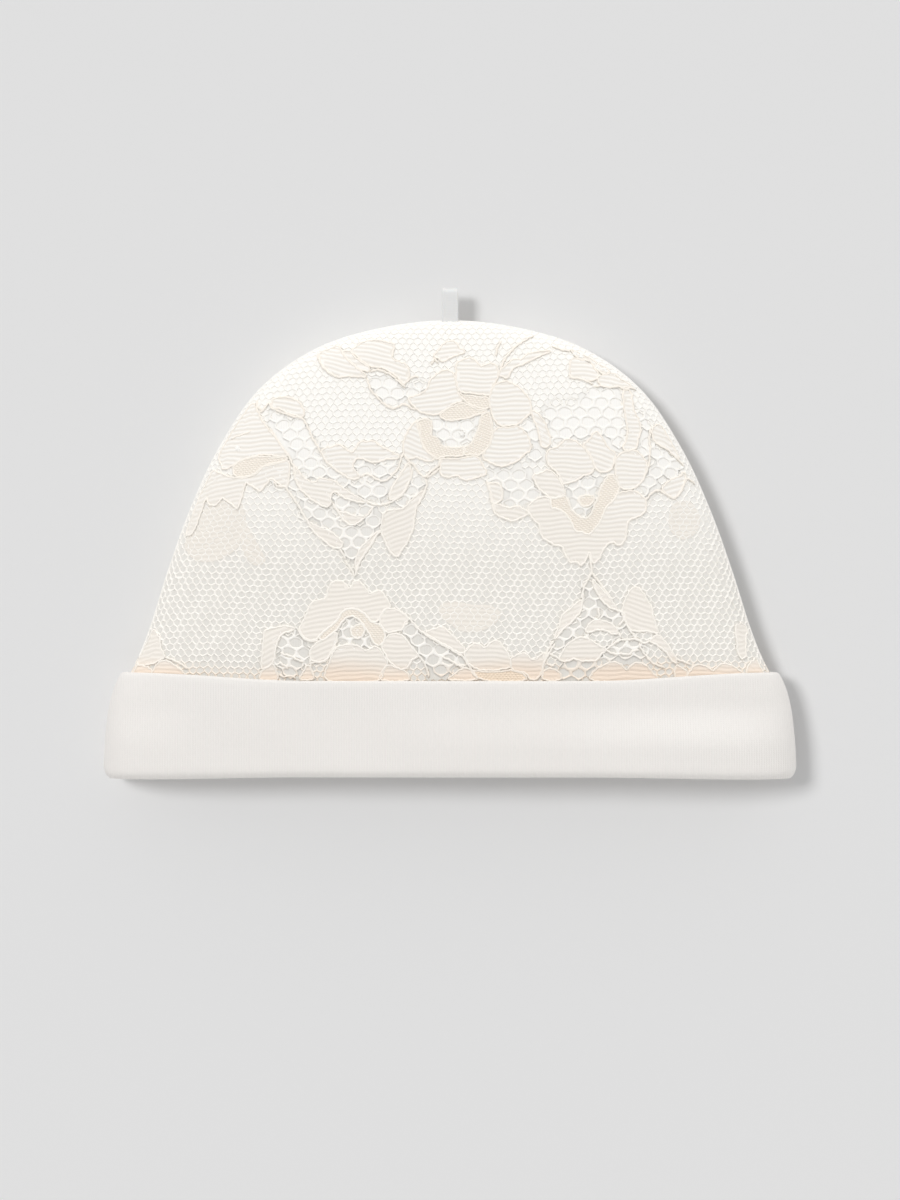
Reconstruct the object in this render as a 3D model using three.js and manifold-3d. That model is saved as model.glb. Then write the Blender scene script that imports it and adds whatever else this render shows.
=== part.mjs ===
// A newborn's lace cap, lying flat on its back as it is stored.
// Frame, in millimetres: +X across the cap, +Y from its mouth towards its crown, +Z up from the surface it
// lies on. The origin is the middle of the cap's outline, on that surface.
//
// The cap is a bag of jersey lining, open at the mouth and covered by two lace panels, back and front.
// The panels meet in one seam that runs up one side, over the crown and down the other side.
// A doubled jersey band is sewn to the lower edge and turned up outside as the cuff.
// A ribbon loop is caught in the crown seam.
//
// The skin is the surface that faces the hollow. Every layer lies at a fixed distance outside it.

import * as THREE from 'three';
import { mergeVertices } from 'three/addons/utils/BufferGeometryUtils.js';
import Module from 'manifold-3d';

// Driving sizes, in millimetres
const CAP_WIDTH = 170; // over the cuff, at the mouth
const CAP_LENGTH = 112; // from the mouth to the top of the crown, without the loop
const CUFF_HEIGHT = 26; // of the turned-up band, at the sides
const CUFF_DIP = 1.9; // by which the band's top edge runs lower across the middle
const MOUTH_LIFT = 0.7; // by which the mouth's edge runs higher across the middle
const BAND_SEAM_HEIGHT = 20; // of the seam between band and crown, above the mouth
const HOLLOW_HEIGHT = 12; // room inside the crown, where it is highest
const SEAM_HEIGHT = 6.2; // of the side seam above the surface
const BAND_THICKNESS = 1.6; // two plies of jersey
const LINING_THICKNESS = 1;
const LACE_THICKNESS = 1;
const PLY_GAP = 0.3; // between two pieces that lie on each other
const FOLD_GAP = 1; // between the band's two legs, where nothing lies between them
const CUFF_SLACK = 0.9; // by which the cuff stands off at the side folds
const CUFF_CORNER = 2; // radius of the cuff's corners, seen from above
const LOOP_WIDTH = 4;
const LOOP_REACH = 8.1; // of the ribbon loop beyond the crown
const LOOP_THICKNESS = 1;
const LOOP_EYE = 1.4; // width of the eye between the ribbon's two plies
const LACE_CELL = 5; // spacing of the openwork's large cells
const LACE_BAR = 1.2; // width of the bars between those cells

// How finely the surfaces are divided
const CROWN_ROWS = 13; // from the band seam to the crown's top
const RING_STEPS = 48; // once around the bag, an even number

// What follows from the driving sizes
const LINING_OUT = LINING_THICKNESS;
const LACE_IN = LINING_OUT + PLY_GAP;
const LACE_OUT = LACE_IN + LACE_THICKNESS;
const CUFF_IN = Math.max(LACE_OUT + PLY_GAP, BAND_THICKNESS + FOLD_GAP);
const CUFF_OUT = CUFF_IN + BAND_THICKNESS;
const SKIN_LENGTH = CAP_LENGTH - LACE_OUT;
const SKIN_HALF = CAP_WIDTH / 2 - CUFF_OUT - CUFF_SLACK;
const CROWN_START = BAND_SEAM_HEIGHT + PLY_GAP;
const CUFF_CLEAR = CUFF_HEIGHT + BAND_THICKNESS / 2; // where the crown begins to leave the cuff
const SHIFT_Y = (CAP_LENGTH + LOOP_REACH) / 2;

// The skin's outline beside the cuff. up is a share of CUFF_HEIGHT, half a share of SKIN_HALF.
const CUFF_OUTLINE = [
  { up: 0, half: 1 },
  { up: 0.4, half: 0.9935 },
  { up: 0.7, half: 0.981 },
  { up: 0.88, half: 0.964 },
];
// The skin's outline above the cuff. up is a share of the length from the cuff to the crown's top.
const CROWN_OUTLINE = [
  { up: 0, half: 0.945 },
  { up: 0.036, half: 0.926 },
  { up: 0.114, half: 0.894 },
  { up: 0.29, half: 0.835 },
  { up: 0.465, half: 0.769 },
  { up: 0.639, half: 0.684 },
  { up: 0.809, half: 0.561 },
  { up: 0.919, half: 0.4 },
  { up: 0.976, half: 0.217 },
  { up: 1, half: 0 },
];
// Room inside, along the cap. up is a share of the skin's length, rise a share of HOLLOW_HEIGHT.
const HOLLOW_PROFILE = [
  { up: 0, rise: 0.78 },
  { up: 0.12, rise: 0.8 },
  { up: 0.24, rise: 0.8 },
  { up: 0.42, rise: 0.95 },
  { up: 0.6, rise: 1 },
  { up: 1, rise: 1 },
];
// Areas of large openwork cells in the lace, as ovals. up is a share of the length from the cuff to the
// crown's top; across, long and wide are shares of half CAP_WIDTH; turn is in degrees from +X.
const OPENWORK = [
  { across: 0.39, up: 0.72, long: 0.3, wide: 0.21, turn: 0 },
  { across: -0.44, up: 0.66, long: 0.31, wide: 0.12, turn: -45 },
  { across: -0.36, up: 0.4, long: 0.31, wide: 0.12, turn: -47 },
  { across: 0.02, up: 0.7, long: 0.17, wide: 0.11, turn: 0 },
  { across: 0.2, up: 0.53, long: 0.19, wide: 0.12, turn: -10 },
  { across: -0.46, up: 0.1, long: 0.13, wide: 0.15, turn: 0 },
  { across: -0.05, up: 0.13, long: 0.27, wide: 0.09, turn: -36 },
  { across: 0.37, up: 0.14, long: 0.3, wide: 0.13, turn: 50 },
];

const wasm = await Module();
wasm.setup();

// The value of column at up, on straight lines between a table's rows
function read(table, column, up) {
  const next = Math.min(table.length - 1, Math.max(1, table.findIndex((row) => row.up >= up)));
  const low = table[next - 1];
  const high = table[next];
  const share = THREE.MathUtils.clamp((up - low.up) / (high.up - low.up), 0, 1);
  return low[column] + (high[column] - low[column]) * share;
}

// The skin's outline as one smooth curve from the mouth to the crown's top
function outlineSamples() {
  const points = [];
  for (const row of CUFF_OUTLINE) {
    points.push(new THREE.Vector3(row.half * SKIN_HALF, row.up * CUFF_HEIGHT, 0));
  }
  const crownLength = SKIN_LENGTH - CUFF_HEIGHT;
  for (const row of CROWN_OUTLINE) {
    points.push(new THREE.Vector3(row.half * SKIN_HALF, CUFF_HEIGHT + row.up * crownLength, 0));
  }
  const beyondTop = points[points.length - 2].clone();
  beyondTop.x *= -1;
  points.push(beyondTop);
  const curve = new THREE.CatmullRomCurve3(points, false, 'centripetal');
  const topShare = (points.length - 2) / (points.length - 1);
  const samples = [];
  const steps = 600;
  for (let i = 0; i <= steps; i += 1) {
    samples.push(curve.getPoint((topShare * i) / steps));
  }
  samples[steps].x = 0;
  return samples;
}
const OUTLINE = outlineSamples();

// Half the skin's width at y. The square of the width is even near the top, where the outline lies across.
function skinHalf(y) {
  const after = OUTLINE.findIndex((point) => point.y > y);
  if (after === 0) return OUTLINE[0].x;
  if (after < 0) return 0;
  const low = OUTLINE[after - 1];
  const high = OUTLINE[after];
  const share = (y - low.y) / (high.y - low.y);
  return Math.sqrt(Math.max(0, low.x ** 2 + (high.x ** 2 - low.x ** 2) * share));
}

// Height of the skin's lower side: the lace lies on the surface, and so does the cuff, which is thicker
function skinFloor(y) {
  const drop = THREE.MathUtils.smoothstep(y, CUFF_CLEAR, CUFF_CLEAR + 4 * BAND_THICKNESS);
  return CUFF_OUT + (LACE_OUT - CUFF_OUT) * drop;
}

// How full the cap is at a place: 0 on the seam and near 1 inside. Higher powers give a flatter middle.
function fullness(x, y, sidePower, endPower) {
  const half = skinHalf(y);
  const across = half > 0 ? Math.min(1, Math.abs(x) / half) : 1;
  const along = Math.min(1, Math.max(0, y / SKIN_LENGTH));
  return Math.sqrt((1 - along ** endPower) * (1 - across ** sidePower));
}

// Height of the skin above the surface, at a place seen from above
function skinHeight(x, y, side) {
  const floor = skinFloor(y);
  if (side > 0) {
    const top = floor + HOLLOW_HEIGHT * read(HOLLOW_PROFILE, 'rise', y / SKIN_LENGTH);
    return SEAM_HEIGHT + (top - SEAM_HEIGHT) * fullness(x, y, 3.4, 4);
  }
  const reach = Math.min(1, 1.35 * fullness(x, y, 6, 8));
  return SEAM_HEIGHT - (SEAM_HEIGHT - floor) * (1 - (1 - reach) ** 2);
}

// The way out of the skin at a place: sideways on the seam, and otherwise across the surface there
function skinNormal(x, y, side) {
  const half = skinHalf(y);
  const onSeam = Math.abs(x) > half * (1 - 1e-6) || y > SKIN_LENGTH * (1 - 1e-6);
  if (onSeam) {
    const step = 0.05;
    if (y > SKIN_LENGTH - step) return new THREE.Vector3(0, 1, 0);
    const slope = (skinHalf(y + step) - skinHalf(y - step)) / (2 * step);
    return new THREE.Vector3(Math.sign(x), -slope, 0).normalize();
  }
  const step = 1e-4;
  const slopeX = (skinHeight(x + step, y, side) - skinHeight(x - step, y, side)) / (2 * step);
  const slopeY = (skinHeight(x, y + step, side) - skinHeight(x, y - step, side)) / (2 * step);
  return new THREE.Vector3(-slopeX * side, -slopeY * side, side).normalize();
}

// A point at a distance outside the skin. side is 1 for the front, which lies uppermost, -1 for the back.
function layerPoint(x, y, side, out) {
  const point = new THREE.Vector3(x, y, skinHeight(x, y, side));
  point.addScaledVector(skinNormal(x, y, side), out);
  if (side < 0) point.z = Math.max(0, point.z);
  return point;
}

// A mesh geometry from points and faces with three or four corners
function toGeometry(points, faces) {
  const geometry = new THREE.BufferGeometry();
  const positions = points.flatMap((point) => point.toArray());
  geometry.setAttribute('position', new THREE.Float32BufferAttribute(positions, 3));
  const index = [];
  for (const face of faces) {
    for (let i = 1; i < face.length - 1; i += 1) index.push(face[0], face[i], face[i + 1]);
  }
  geometry.setIndex(index);
  return geometry;
}

function toSolid(geometry) {
  const bare = geometry.clone();
  bare.deleteAttribute('normal');
  bare.deleteAttribute('uv');
  const merged = mergeVertices(bare, 1e-4);
  const vertProperties = new Float32Array(merged.attributes.position.array);
  const triVerts = new Uint32Array(merged.index.array);
  return new wasm.Manifold(new wasm.Mesh({ numProp: 3, vertProperties, triVerts }));
}

function fromSolid(solid) {
  const mesh = solid.getMesh();
  const geometry = new THREE.BufferGeometry();
  geometry.setAttribute('position', new THREE.Float32BufferAttribute(mesh.vertProperties, 3));
  geometry.setIndex([...mesh.triVerts]);
  return geometry;
}

// Heights of the bag's rings: one at its lower edge, then from the cuff up, closer together towards the top
function rowHeight(row) {
  if (row === 0) return CROWN_START;
  const turn = ((row - 1) / (CROWN_ROWS - 1)) * (Math.PI / 2);
  return CUFF_CLEAR + (SKIN_LENGTH - CUFF_CLEAR) * Math.sin(turn);
}

// A bag between two distances outside the skin, open at its lower edge, with rings up to the crown's top
function bagGeometry(outs) {
  const points = [];
  const faces = [];
  for (const out of outs) {
    for (let row = 0; row < CROWN_ROWS; row += 1) {
      const y = rowHeight(row);
      for (let step = 0; step < RING_STEPS; step += 1) {
        const turn = (step / RING_STEPS) * 2 * Math.PI;
        points.push(layerPoint(skinHalf(y) * Math.cos(turn), y, turn <= Math.PI ? 1 : -1, out));
      }
    }
    points.push(new THREE.Vector3(0, SKIN_LENGTH + out, SEAM_HEIGHT));
  }
  const shell = CROWN_ROWS * RING_STEPS + 1;
  const at = (layer, row, step) => layer * shell + row * RING_STEPS + (step % RING_STEPS);
  const top = CROWN_ROWS - 1;
  for (let step = 0; step < RING_STEPS; step += 1) {
    for (let row = 0; row < top; row += 1) {
      faces.push([at(0, row, step), at(0, row, step + 1), at(0, row + 1, step + 1), at(0, row + 1, step)]);
      faces.push([at(1, row, step), at(1, row + 1, step), at(1, row + 1, step + 1), at(1, row, step + 1)]);
    }
    faces.push([at(0, top, step), at(0, top, step + 1), shell - 1]);
    faces.push([at(1, top, step), 2 * shell - 1, at(1, top, step + 1)]);
    faces.push([at(0, 0, step), at(1, 0, step), at(1, 0, step + 1), at(0, 0, step + 1)]);
  }
  return toGeometry(points, faces);
}

// Centres of the openwork's cells: a honeycomb, kept where an area holds it and clear of the seam
function cellCentres() {
  const half = CAP_WIDTH / 2;
  const crownLength = CAP_LENGTH - CUFF_HEIGHT;
  const rowStep = (LACE_CELL * Math.sqrt(3)) / 2;
  const centres = [];
  for (let row = 0; row * rowStep < crownLength; row += 1) {
    const y = CUFF_HEIGHT + CUFF_DIP + LACE_CELL / 2 + row * rowStep;
    const count = Math.ceil(half / LACE_CELL);
    for (let column = -count; column <= count; column += 1) {
      const x = (column + (row % 2) / 2) * LACE_CELL;
      const inArea = OPENWORK.some((area) => {
        const turn = THREE.MathUtils.degToRad(area.turn);
        const dx = x - area.across * half;
        const dy = y - CUFF_HEIGHT - area.up * crownLength;
        const along = (dx * Math.cos(turn) + dy * Math.sin(turn)) / ((area.long * half) / 2);
        const beside = (dy * Math.cos(turn) - dx * Math.sin(turn)) / ((area.wide * half) / 2);
        return along ** 2 + beside ** 2 < 1;
      });
      const clear = Math.abs(x) < skinHalf(y + LACE_CELL) - 1.5 * LACE_CELL;
      if (inArea && clear) centres.push({ x, y });
    }
  }
  return centres;
}

// One lace panel: its side of a bag over the lining, cut back around the ribbon and through each large cell
function lacePanel(side) {
  const high = HOLLOW_HEIGHT + 2 * CUFF_OUT;
  const middle = SEAM_HEIGHT + (side * (high + PLY_GAP)) / 2;
  const half = new THREE.BoxGeometry(2 * CAP_WIDTH, 4 * CAP_LENGTH, high);
  half.translate(0, 0, middle);
  const ribbonRoom = new THREE.BoxGeometry(
    LOOP_WIDTH + 2 * PLY_GAP,
    6 * LACE_THICKNESS,
    2 * LOOP_THICKNESS + LOOP_EYE + 2 * PLY_GAP,
  );
  ribbonRoom.translate(0, CAP_LENGTH, SEAM_HEIGHT);
  const radius = (LACE_CELL - LACE_BAR) / Math.sqrt(3);
  const cells = cellCentres().map(({ x, y }) => {
    const cell = new THREE.CylinderGeometry(radius, radius, high, 6);
    cell.rotateX(Math.PI / 2);
    cell.translate(x, y, middle);
    return toSolid(cell);
  });
  const cut = wasm.Manifold.union([toSolid(ribbonRoom), ...cells]);
  return fromSolid(toSolid(bagGeometry([LACE_IN, LACE_OUT])).intersect(toSolid(half)).subtract(cut));
}

// A closed path around the cuff's wall: down the inner leg, round the mouth's fold, up the outer leg and
// back. up is the height above the mouth, out the distance outside the skin, outer whether on the outer leg.
function cuffProfile() {
  const profile = [];
  const foldGap = (CUFF_IN - BAND_THICKNESS) / 2;
  const foldMiddle = BAND_THICKNESS + foldGap;
  const edge = BAND_THICKNESS / 2;
  const straight = (from, to, out, outer, count) => {
    for (let i = 0; i < count; i += 1) profile.push({ up: from + ((to - from) * i) / count, out, outer });
  };
  // start and end are angles from the inner leg, in half turns around the bend
  const bend = (centreUp, centreOut, radius, start, end, count) => {
    for (let i = 0; i < count; i += 1) {
      const turn = start + ((end - start) * i) / count;
      const up = centreUp - radius * Math.sin(turn * Math.PI);
      profile.push({ up, out: centreOut - radius * Math.cos(turn * Math.PI), outer: turn > 0.5 });
    }
  };
  straight(BAND_SEAM_HEIGHT, foldMiddle, 0, false, 2);
  bend(foldMiddle, foldMiddle, foldMiddle, 0, 1, 5);
  straight(foldMiddle, CUFF_HEIGHT - edge, CUFF_OUT, true, 4);
  bend(CUFF_HEIGHT - edge, CUFF_OUT - edge, edge, 1, 2, 3);
  straight(CUFF_HEIGHT - edge, foldMiddle, CUFF_IN, true, 3);
  bend(foldMiddle, foldMiddle, foldGap, 1, 0, 3);
  straight(foldMiddle, BAND_SEAM_HEIGHT, BAND_THICKNESS, false, 2);
  profile.push({ up: BAND_SEAM_HEIGHT, out: BAND_THICKNESS, outer: false });
  return profile;
}

// How far the cuff's edges fall back near its side folds, so that its corners are round from above
function cornerFall(x) {
  const near = Math.min(CUFF_CORNER, Math.max(0, CUFF_CORNER - (CAP_WIDTH / 2 - Math.abs(x))));
  return CUFF_CORNER - Math.sqrt(CUFF_CORNER ** 2 - near ** 2);
}

// A point of the cuff. turn runs once around the mouth, from the right side fold over the front.
function cuffPoint(turn, { up, out, outer }) {
  const side = turn <= Math.PI ? 1 : -1;
  const level = Math.max(0, up);
  const point = new THREE.Vector3(skinHalf(level) * Math.cos(turn), 0, 0);
  point.z = skinHeight(point.x, level, side);
  const normal = skinNormal(point.x, level, side).setY(0).normalize();
  point.addScaledVector(normal, out);
  point.x += normal.x * CUFF_SLACK * THREE.MathUtils.smoothstep(out, BAND_THICKNESS, CUFF_IN);
  point.z = Math.max(0, point.z);
  const middle = 1 - THREE.MathUtils.smoothstep(Math.abs(Math.cos(turn)), 0.45, 1);
  const share = up / (outer ? CUFF_HEIGHT : BAND_SEAM_HEIGHT);
  const fall = cornerFall(point.x);
  point.y = up + (MOUTH_LIFT * middle + fall) * (1 - share);
  if (outer) point.y -= (CUFF_DIP * middle + fall) * share;
  return point;
}

function cuffGeometry() {
  const profile = cuffProfile();
  const points = [];
  for (let step = 0; step < RING_STEPS; step += 1) {
    const turn = (step / RING_STEPS) * 2 * Math.PI;
    for (const place of profile) points.push(cuffPoint(turn, place));
  }
  const faces = [];
  const at = (step, i) => (step % RING_STEPS) * profile.length + (i % profile.length);
  for (let step = 0; step < RING_STEPS; step += 1) {
    for (let i = 0; i < profile.length; i += 1) {
      faces.push([at(step, i), at(step, i + 1), at(step + 1, i + 1), at(step + 1, i)]);
    }
  }
  return toGeometry(points, faces);
}

// The ribbon, folded double around a narrow eye. Its two ends lie in the crown seam.
function loopGeometry() {
  const seat = SKIN_LENGTH + LINING_OUT + PLY_GAP;
  const top = CAP_LENGTH + LOOP_REACH;
  const outer = LOOP_THICKNESS + LOOP_EYE / 2;
  const inner = LOOP_EYE / 2;
  const shape = new THREE.Shape();
  shape.moveTo(seat, -outer);
  shape.lineTo(top - outer, -outer);
  shape.absarc(top - outer, 0, outer, -Math.PI / 2, Math.PI / 2, false);
  shape.lineTo(seat, outer);
  shape.lineTo(seat, inner);
  shape.lineTo(top - outer, inner);
  shape.absarc(top - outer, 0, inner, Math.PI / 2, -Math.PI / 2, true);
  shape.lineTo(seat, -inner);
  const ribbon = { depth: LOOP_WIDTH, bevelEnabled: false, curveSegments: 6 };
  const geometry = new THREE.ExtrudeGeometry(shape, ribbon);
  // The shape is drawn with the cap's Y and Z as its X and Y, and its depth then runs along the cap's X
  const toCap = new THREE.Matrix4().makeBasis(
    new THREE.Vector3(0, 1, 0),
    new THREE.Vector3(0, 0, 1),
    new THREE.Vector3(1, 0, 0),
  );
  geometry.applyMatrix4(toCap.setPosition(-LOOP_WIDTH / 2, 0, SEAM_HEIGHT));
  return geometry;
}

function piece(name, geometry, color, roughness) {
  const material = new THREE.MeshStandardMaterial({ color, roughness, metalness: 0 });
  const mesh = new THREE.Mesh(geometry, material);
  mesh.name = name;
  return mesh;
}

const JERSEY_COLOUR = '#f2f0ec';
const LACE_COLOUR = '#f5ebe0';
const RIBBON_COLOUR = '#f0efed';

const cap = new THREE.Group();
cap.add(
  piece('lining', bagGeometry([0, LINING_OUT]), JERSEY_COLOUR, 0.9),
  piece('lace_front', lacePanel(1), LACE_COLOUR, 0.8),
  piece('lace_back', lacePanel(-1), LACE_COLOUR, 0.8),
  piece('cuff', cuffGeometry(), JERSEY_COLOUR, 0.9),
  piece('ribbon_loop', loopGeometry(), RIBBON_COLOUR, 0.45),
);
cap.position.y = -SHIFT_Y;

export default cap;
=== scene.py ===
# A newborn's lace cap lying flat on its back, seen from straight above.
# Sizes are in millimetres in the cap's own measure, as its maker would lay it out: x across from the
# middle, y up from the mouth, z up from the table. placed() turns them to metres in the frame.
import math

import bpy
import numpy as np
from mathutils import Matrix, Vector, geometry


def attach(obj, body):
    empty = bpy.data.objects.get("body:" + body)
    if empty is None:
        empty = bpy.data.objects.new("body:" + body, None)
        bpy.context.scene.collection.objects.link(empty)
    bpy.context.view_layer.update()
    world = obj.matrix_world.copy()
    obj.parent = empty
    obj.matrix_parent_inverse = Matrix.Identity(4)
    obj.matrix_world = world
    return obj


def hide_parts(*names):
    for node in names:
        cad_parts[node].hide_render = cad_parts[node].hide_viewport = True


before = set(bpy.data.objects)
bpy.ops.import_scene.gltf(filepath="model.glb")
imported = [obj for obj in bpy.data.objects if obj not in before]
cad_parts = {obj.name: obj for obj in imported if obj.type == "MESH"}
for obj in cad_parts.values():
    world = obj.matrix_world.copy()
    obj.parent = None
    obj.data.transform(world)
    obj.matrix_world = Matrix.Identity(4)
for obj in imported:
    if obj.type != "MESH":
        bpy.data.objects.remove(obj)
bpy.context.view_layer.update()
bpy.ops.object.select_all(action="DESELECT")

# The cap's driving sizes
MM = 0.001
CAP_WIDTH = 170.0
CAP_LENGTH = 112.0
CUFF_HEIGHT = 26.0
CUFF_DIP = 1.9
MOUTH_LIFT = 0.7
BAND_SEAM_HEIGHT = 20.0
HOLLOW_HEIGHT = 12.0
SEAM_HEIGHT = 6.2
BAND_THICKNESS = 1.6
LINING_THICKNESS = 1.0
LACE_THICKNESS = 1.0
PLY_GAP = 0.3
FOLD_GAP = 1.0
CUFF_SLACK = 0.9
CUFF_CORNER = 2.0
LOOP_WIDTH = 4.0
LOOP_REACH = 8.1
LACE_IN = LINING_THICKNESS + PLY_GAP
LACE_OUT = LACE_IN + LACE_THICKNESS
CUFF_IN = BAND_THICKNESS + FOLD_GAP
CUFF_OUT = CUFF_IN + BAND_THICKNESS
SKIN_LENGTH = CAP_LENGTH - LACE_OUT
SKIN_HALF = CAP_WIDTH / 2 - CUFF_OUT - CUFF_SLACK
CROWN_START = BAND_SEAM_HEIGHT + PLY_GAP
CUFF_CLEAR = CUFF_HEIGHT + BAND_THICKNESS / 2
MIDDLE_Y = (CAP_LENGTH + LOOP_REACH) / 2
FRONT = 1
BACK = -1
# The real lace lies on the lining with no gap that the eye can see
LINING_LEVEL = LINING_THICKNESS + 0.24
NET_LEVEL = LINING_LEVEL - 0.02
CLOTH_LEVEL = LINING_LEVEL + 0.21
CORD_LEVEL = LINING_LEVEL + 0.24
UNEDGED_LEVEL = LINING_LEVEL + 0.08
PATCH_UNDERSIDE = LINING_LEVEL - 0.03
# How much further out the layers lie at the seam, which their folded edges fill
SEAM_SPREAD = 1.15
# The cloth lies just clear of the table
LACE_CLEAR = 0.03
CUFF_CLEARANCE = 0.02
# Above the cuff the skin comes down to the lace's level over this length. On the front the lace leaves the
# cuff in one easy rise.
FLOOR_REACH = {FRONT: 15 * BAND_THICKNESS, BACK: 4 * BAND_THICKNESS}
# How square the panels stand at their sides and at the crown: the powers of a rounded section
FRONT_POWERS = (3.4, 4)
BACK_POWERS = (6, 8)
# How much sooner the back comes to lie flat
BACK_FLAT = 1.35
# The heights of the front's waves, and of the folds that its left seam draws
BILLOW = 0.22
DRAWN_FOLD = 0.16

# The skin's outline beside the cuff (share of CUFF_HEIGHT, share of SKIN_HALF) and above it (share of the
# length from the cuff to the crown's top, share of SKIN_HALF)
CUFF_OUTLINE = ((0, 1), (0.4, 0.9935), (0.7, 0.981), (0.88, 0.964))
CROWN_OUTLINE = (
    (0, 0.945), (0.036, 0.926), (0.114, 0.894), (0.29, 0.835), (0.465, 0.769),
    (0.639, 0.684), (0.809, 0.561), (0.919, 0.4), (0.976, 0.217), (1, 0),
)
# Room inside: share of the skin's length, share of HOLLOW_HEIGHT
HOLLOW_PROFILE = ((0, 0.78), (0.12, 0.8), (0.24, 0.8), (0.42, 0.95), (0.6, 1), (1, 1))


def smooth(value, low, high):
    share = np.clip((value - low) / (high - low), 0, 1)
    return share * share * (3 - 2 * share)


def centripetal(points, per_span):
    """A smooth curve through points: a Catmull-Rom spline, its knots spaced by the root of the distance."""
    ends = [2 * points[0] - points[1], *points, 2 * points[-1] - points[-2]]
    curve = []
    for a, b, c, d in zip(ends, ends[1:], ends[2:], ends[3:]):
        t0 = 0.0
        t1 = t0 + max(1e-6, np.linalg.norm(b - a)) ** 0.5
        t2 = t1 + max(1e-6, np.linalg.norm(c - b)) ** 0.5
        t3 = t2 + max(1e-6, np.linalg.norm(d - c)) ** 0.5
        t = np.linspace(t1, t2, per_span, endpoint=False)[:, None]
        ab = (t1 - t) / (t1 - t0) * a + (t - t0) / (t1 - t0) * b
        bc = (t2 - t) / (t2 - t1) * b + (t - t1) / (t2 - t1) * c
        cd = (t3 - t) / (t3 - t2) * c + (t - t2) / (t3 - t2) * d
        abc = (t2 - t) / (t2 - t0) * ab + (t - t0) / (t2 - t0) * bc
        bcd = (t3 - t) / (t3 - t1) * bc + (t - t1) / (t3 - t1) * cd
        curve.append((t2 - t) / (t2 - t1) * abc + (t - t1) / (t2 - t1) * bcd)
    curve.append(points[-1][None, :])
    return np.vstack(curve)


def skin_outline():
    rows = [(half * SKIN_HALF, up * CUFF_HEIGHT) for up, half in CUFF_OUTLINE]
    crown = SKIN_LENGTH - CUFF_HEIGHT
    rows += [(half * SKIN_HALF, CUFF_HEIGHT + up * crown) for up, half in CROWN_OUTLINE]
    rows.append((-rows[-2][0], rows[-2][1]))
    curve = centripetal([np.array(row) for row in rows], 40)
    curve = curve[: (len(rows) - 2) * 40 + 1]
    curve[-1, 0] = 0
    return curve


OUTLINE = skin_outline()


def skin_half(y):
    """Half the skin's width, at a height above the mouth."""
    return np.sqrt(np.interp(y, OUTLINE[:, 1], OUTLINE[:, 0] ** 2))


def skin_floor(y, side):
    """How far the skin lies above the table where it lies lowest, to leave room for the layers under it."""
    return CUFF_OUT + (LACE_OUT - CUFF_OUT) * smooth(y, CUFF_CLEAR, CUFF_CLEAR + FLOOR_REACH[side])


def fullness(x, y, side_power, end_power):
    """How far from the seam a place is, as a rounded section: 0 on the seam and 1 in the middle."""
    across = np.minimum(1, np.abs(x) / np.maximum(skin_half(y), 1e-9))
    along = np.clip(y / SKIN_LENGTH, 0, 1)
    return np.sqrt((1 - along**end_power) * (1 - across**side_power))


def billow(x, y):
    """The front's soft unevenness: the cloth lies in low, wide waves."""
    wave = np.sin(x / 17 + 1.1) * np.sin(y / 15 + x / 60) + 0.6 * np.sin(x / 9.5 - y / 21 + 2)
    # By the left seam, above the cuff, it is drawn into low slanting folds
    drawn = (1 - smooth(x, -62, -38)) * smooth(y, CUFF_CLEAR, CUFF_CLEAR + 8)
    return BILLOW * wave + DRAWN_FOLD * drawn * np.sin((0.82 * y - 0.56 * x) / 1.225 - 2.41)


def skin_height(x, y, side):
    """The skin's height above the table, on the front or on the back."""
    floor = skin_floor(y, side)
    rise = np.interp(y / SKIN_LENGTH, *zip(*HOLLOW_PROFILE))
    if side == FRONT:
        full = fullness(x, y, *FRONT_POWERS)
        top = floor + HOLLOW_HEIGHT * rise
        return SEAM_HEIGHT + (top - SEAM_HEIGHT) * full + billow(x, y) * full**2
    reach = np.minimum(1, BACK_FLAT * fullness(x, y, *BACK_POWERS))
    return SEAM_HEIGHT - (SEAM_HEIGHT - floor) * (1 - (1 - reach) ** 2)


def skin_normal(x, y, side):
    step = 1e-3
    half = skin_half(y)
    slope_x = (skin_height(x + step, y, side) - skin_height(x - step, y, side)) / (2 * step)
    slope_y = (skin_height(x, y + step, side) - skin_height(x, y - step, side)) / (2 * step)
    normal = np.stack([-slope_x * side, -slope_y * side, np.full(np.shape(x), float(side))], -1)
    lean = (skin_half(y + 0.05) - skin_half(y - 0.05)) / 0.1
    level = np.stack([np.sign(x), -lean, np.zeros(np.shape(x))], -1)
    on_seam = (np.abs(x) > half - 2 * step)[..., None]
    normal = np.where(on_seam, level, normal)
    normal = np.where((y > SKIN_LENGTH - 0.02)[..., None], np.array([0.0, 1.0, 0.0]), normal)
    return normal / np.linalg.norm(normal, axis=-1, keepdims=True)


def layer(x, y, side, out):
    """Points at a distance outside the skin, and a little further out towards the seam."""
    x = np.asarray(x, float)
    y = np.asarray(y, float)
    points = np.stack([x, y, skin_height(x, y, side)], -1)
    out = np.asarray(out) + SEAM_SPREAD * (1 - fullness(x, y, *FRONT_POWERS)) ** 2
    points = points + skin_normal(x, y, side) * out[..., None]
    points[..., 2] = np.maximum(points[..., 2], LACE_CLEAR)
    return points


def placed(points):
    return (np.asarray(points) - np.array([0, MIDDLE_Y, 0])) * MM


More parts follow.
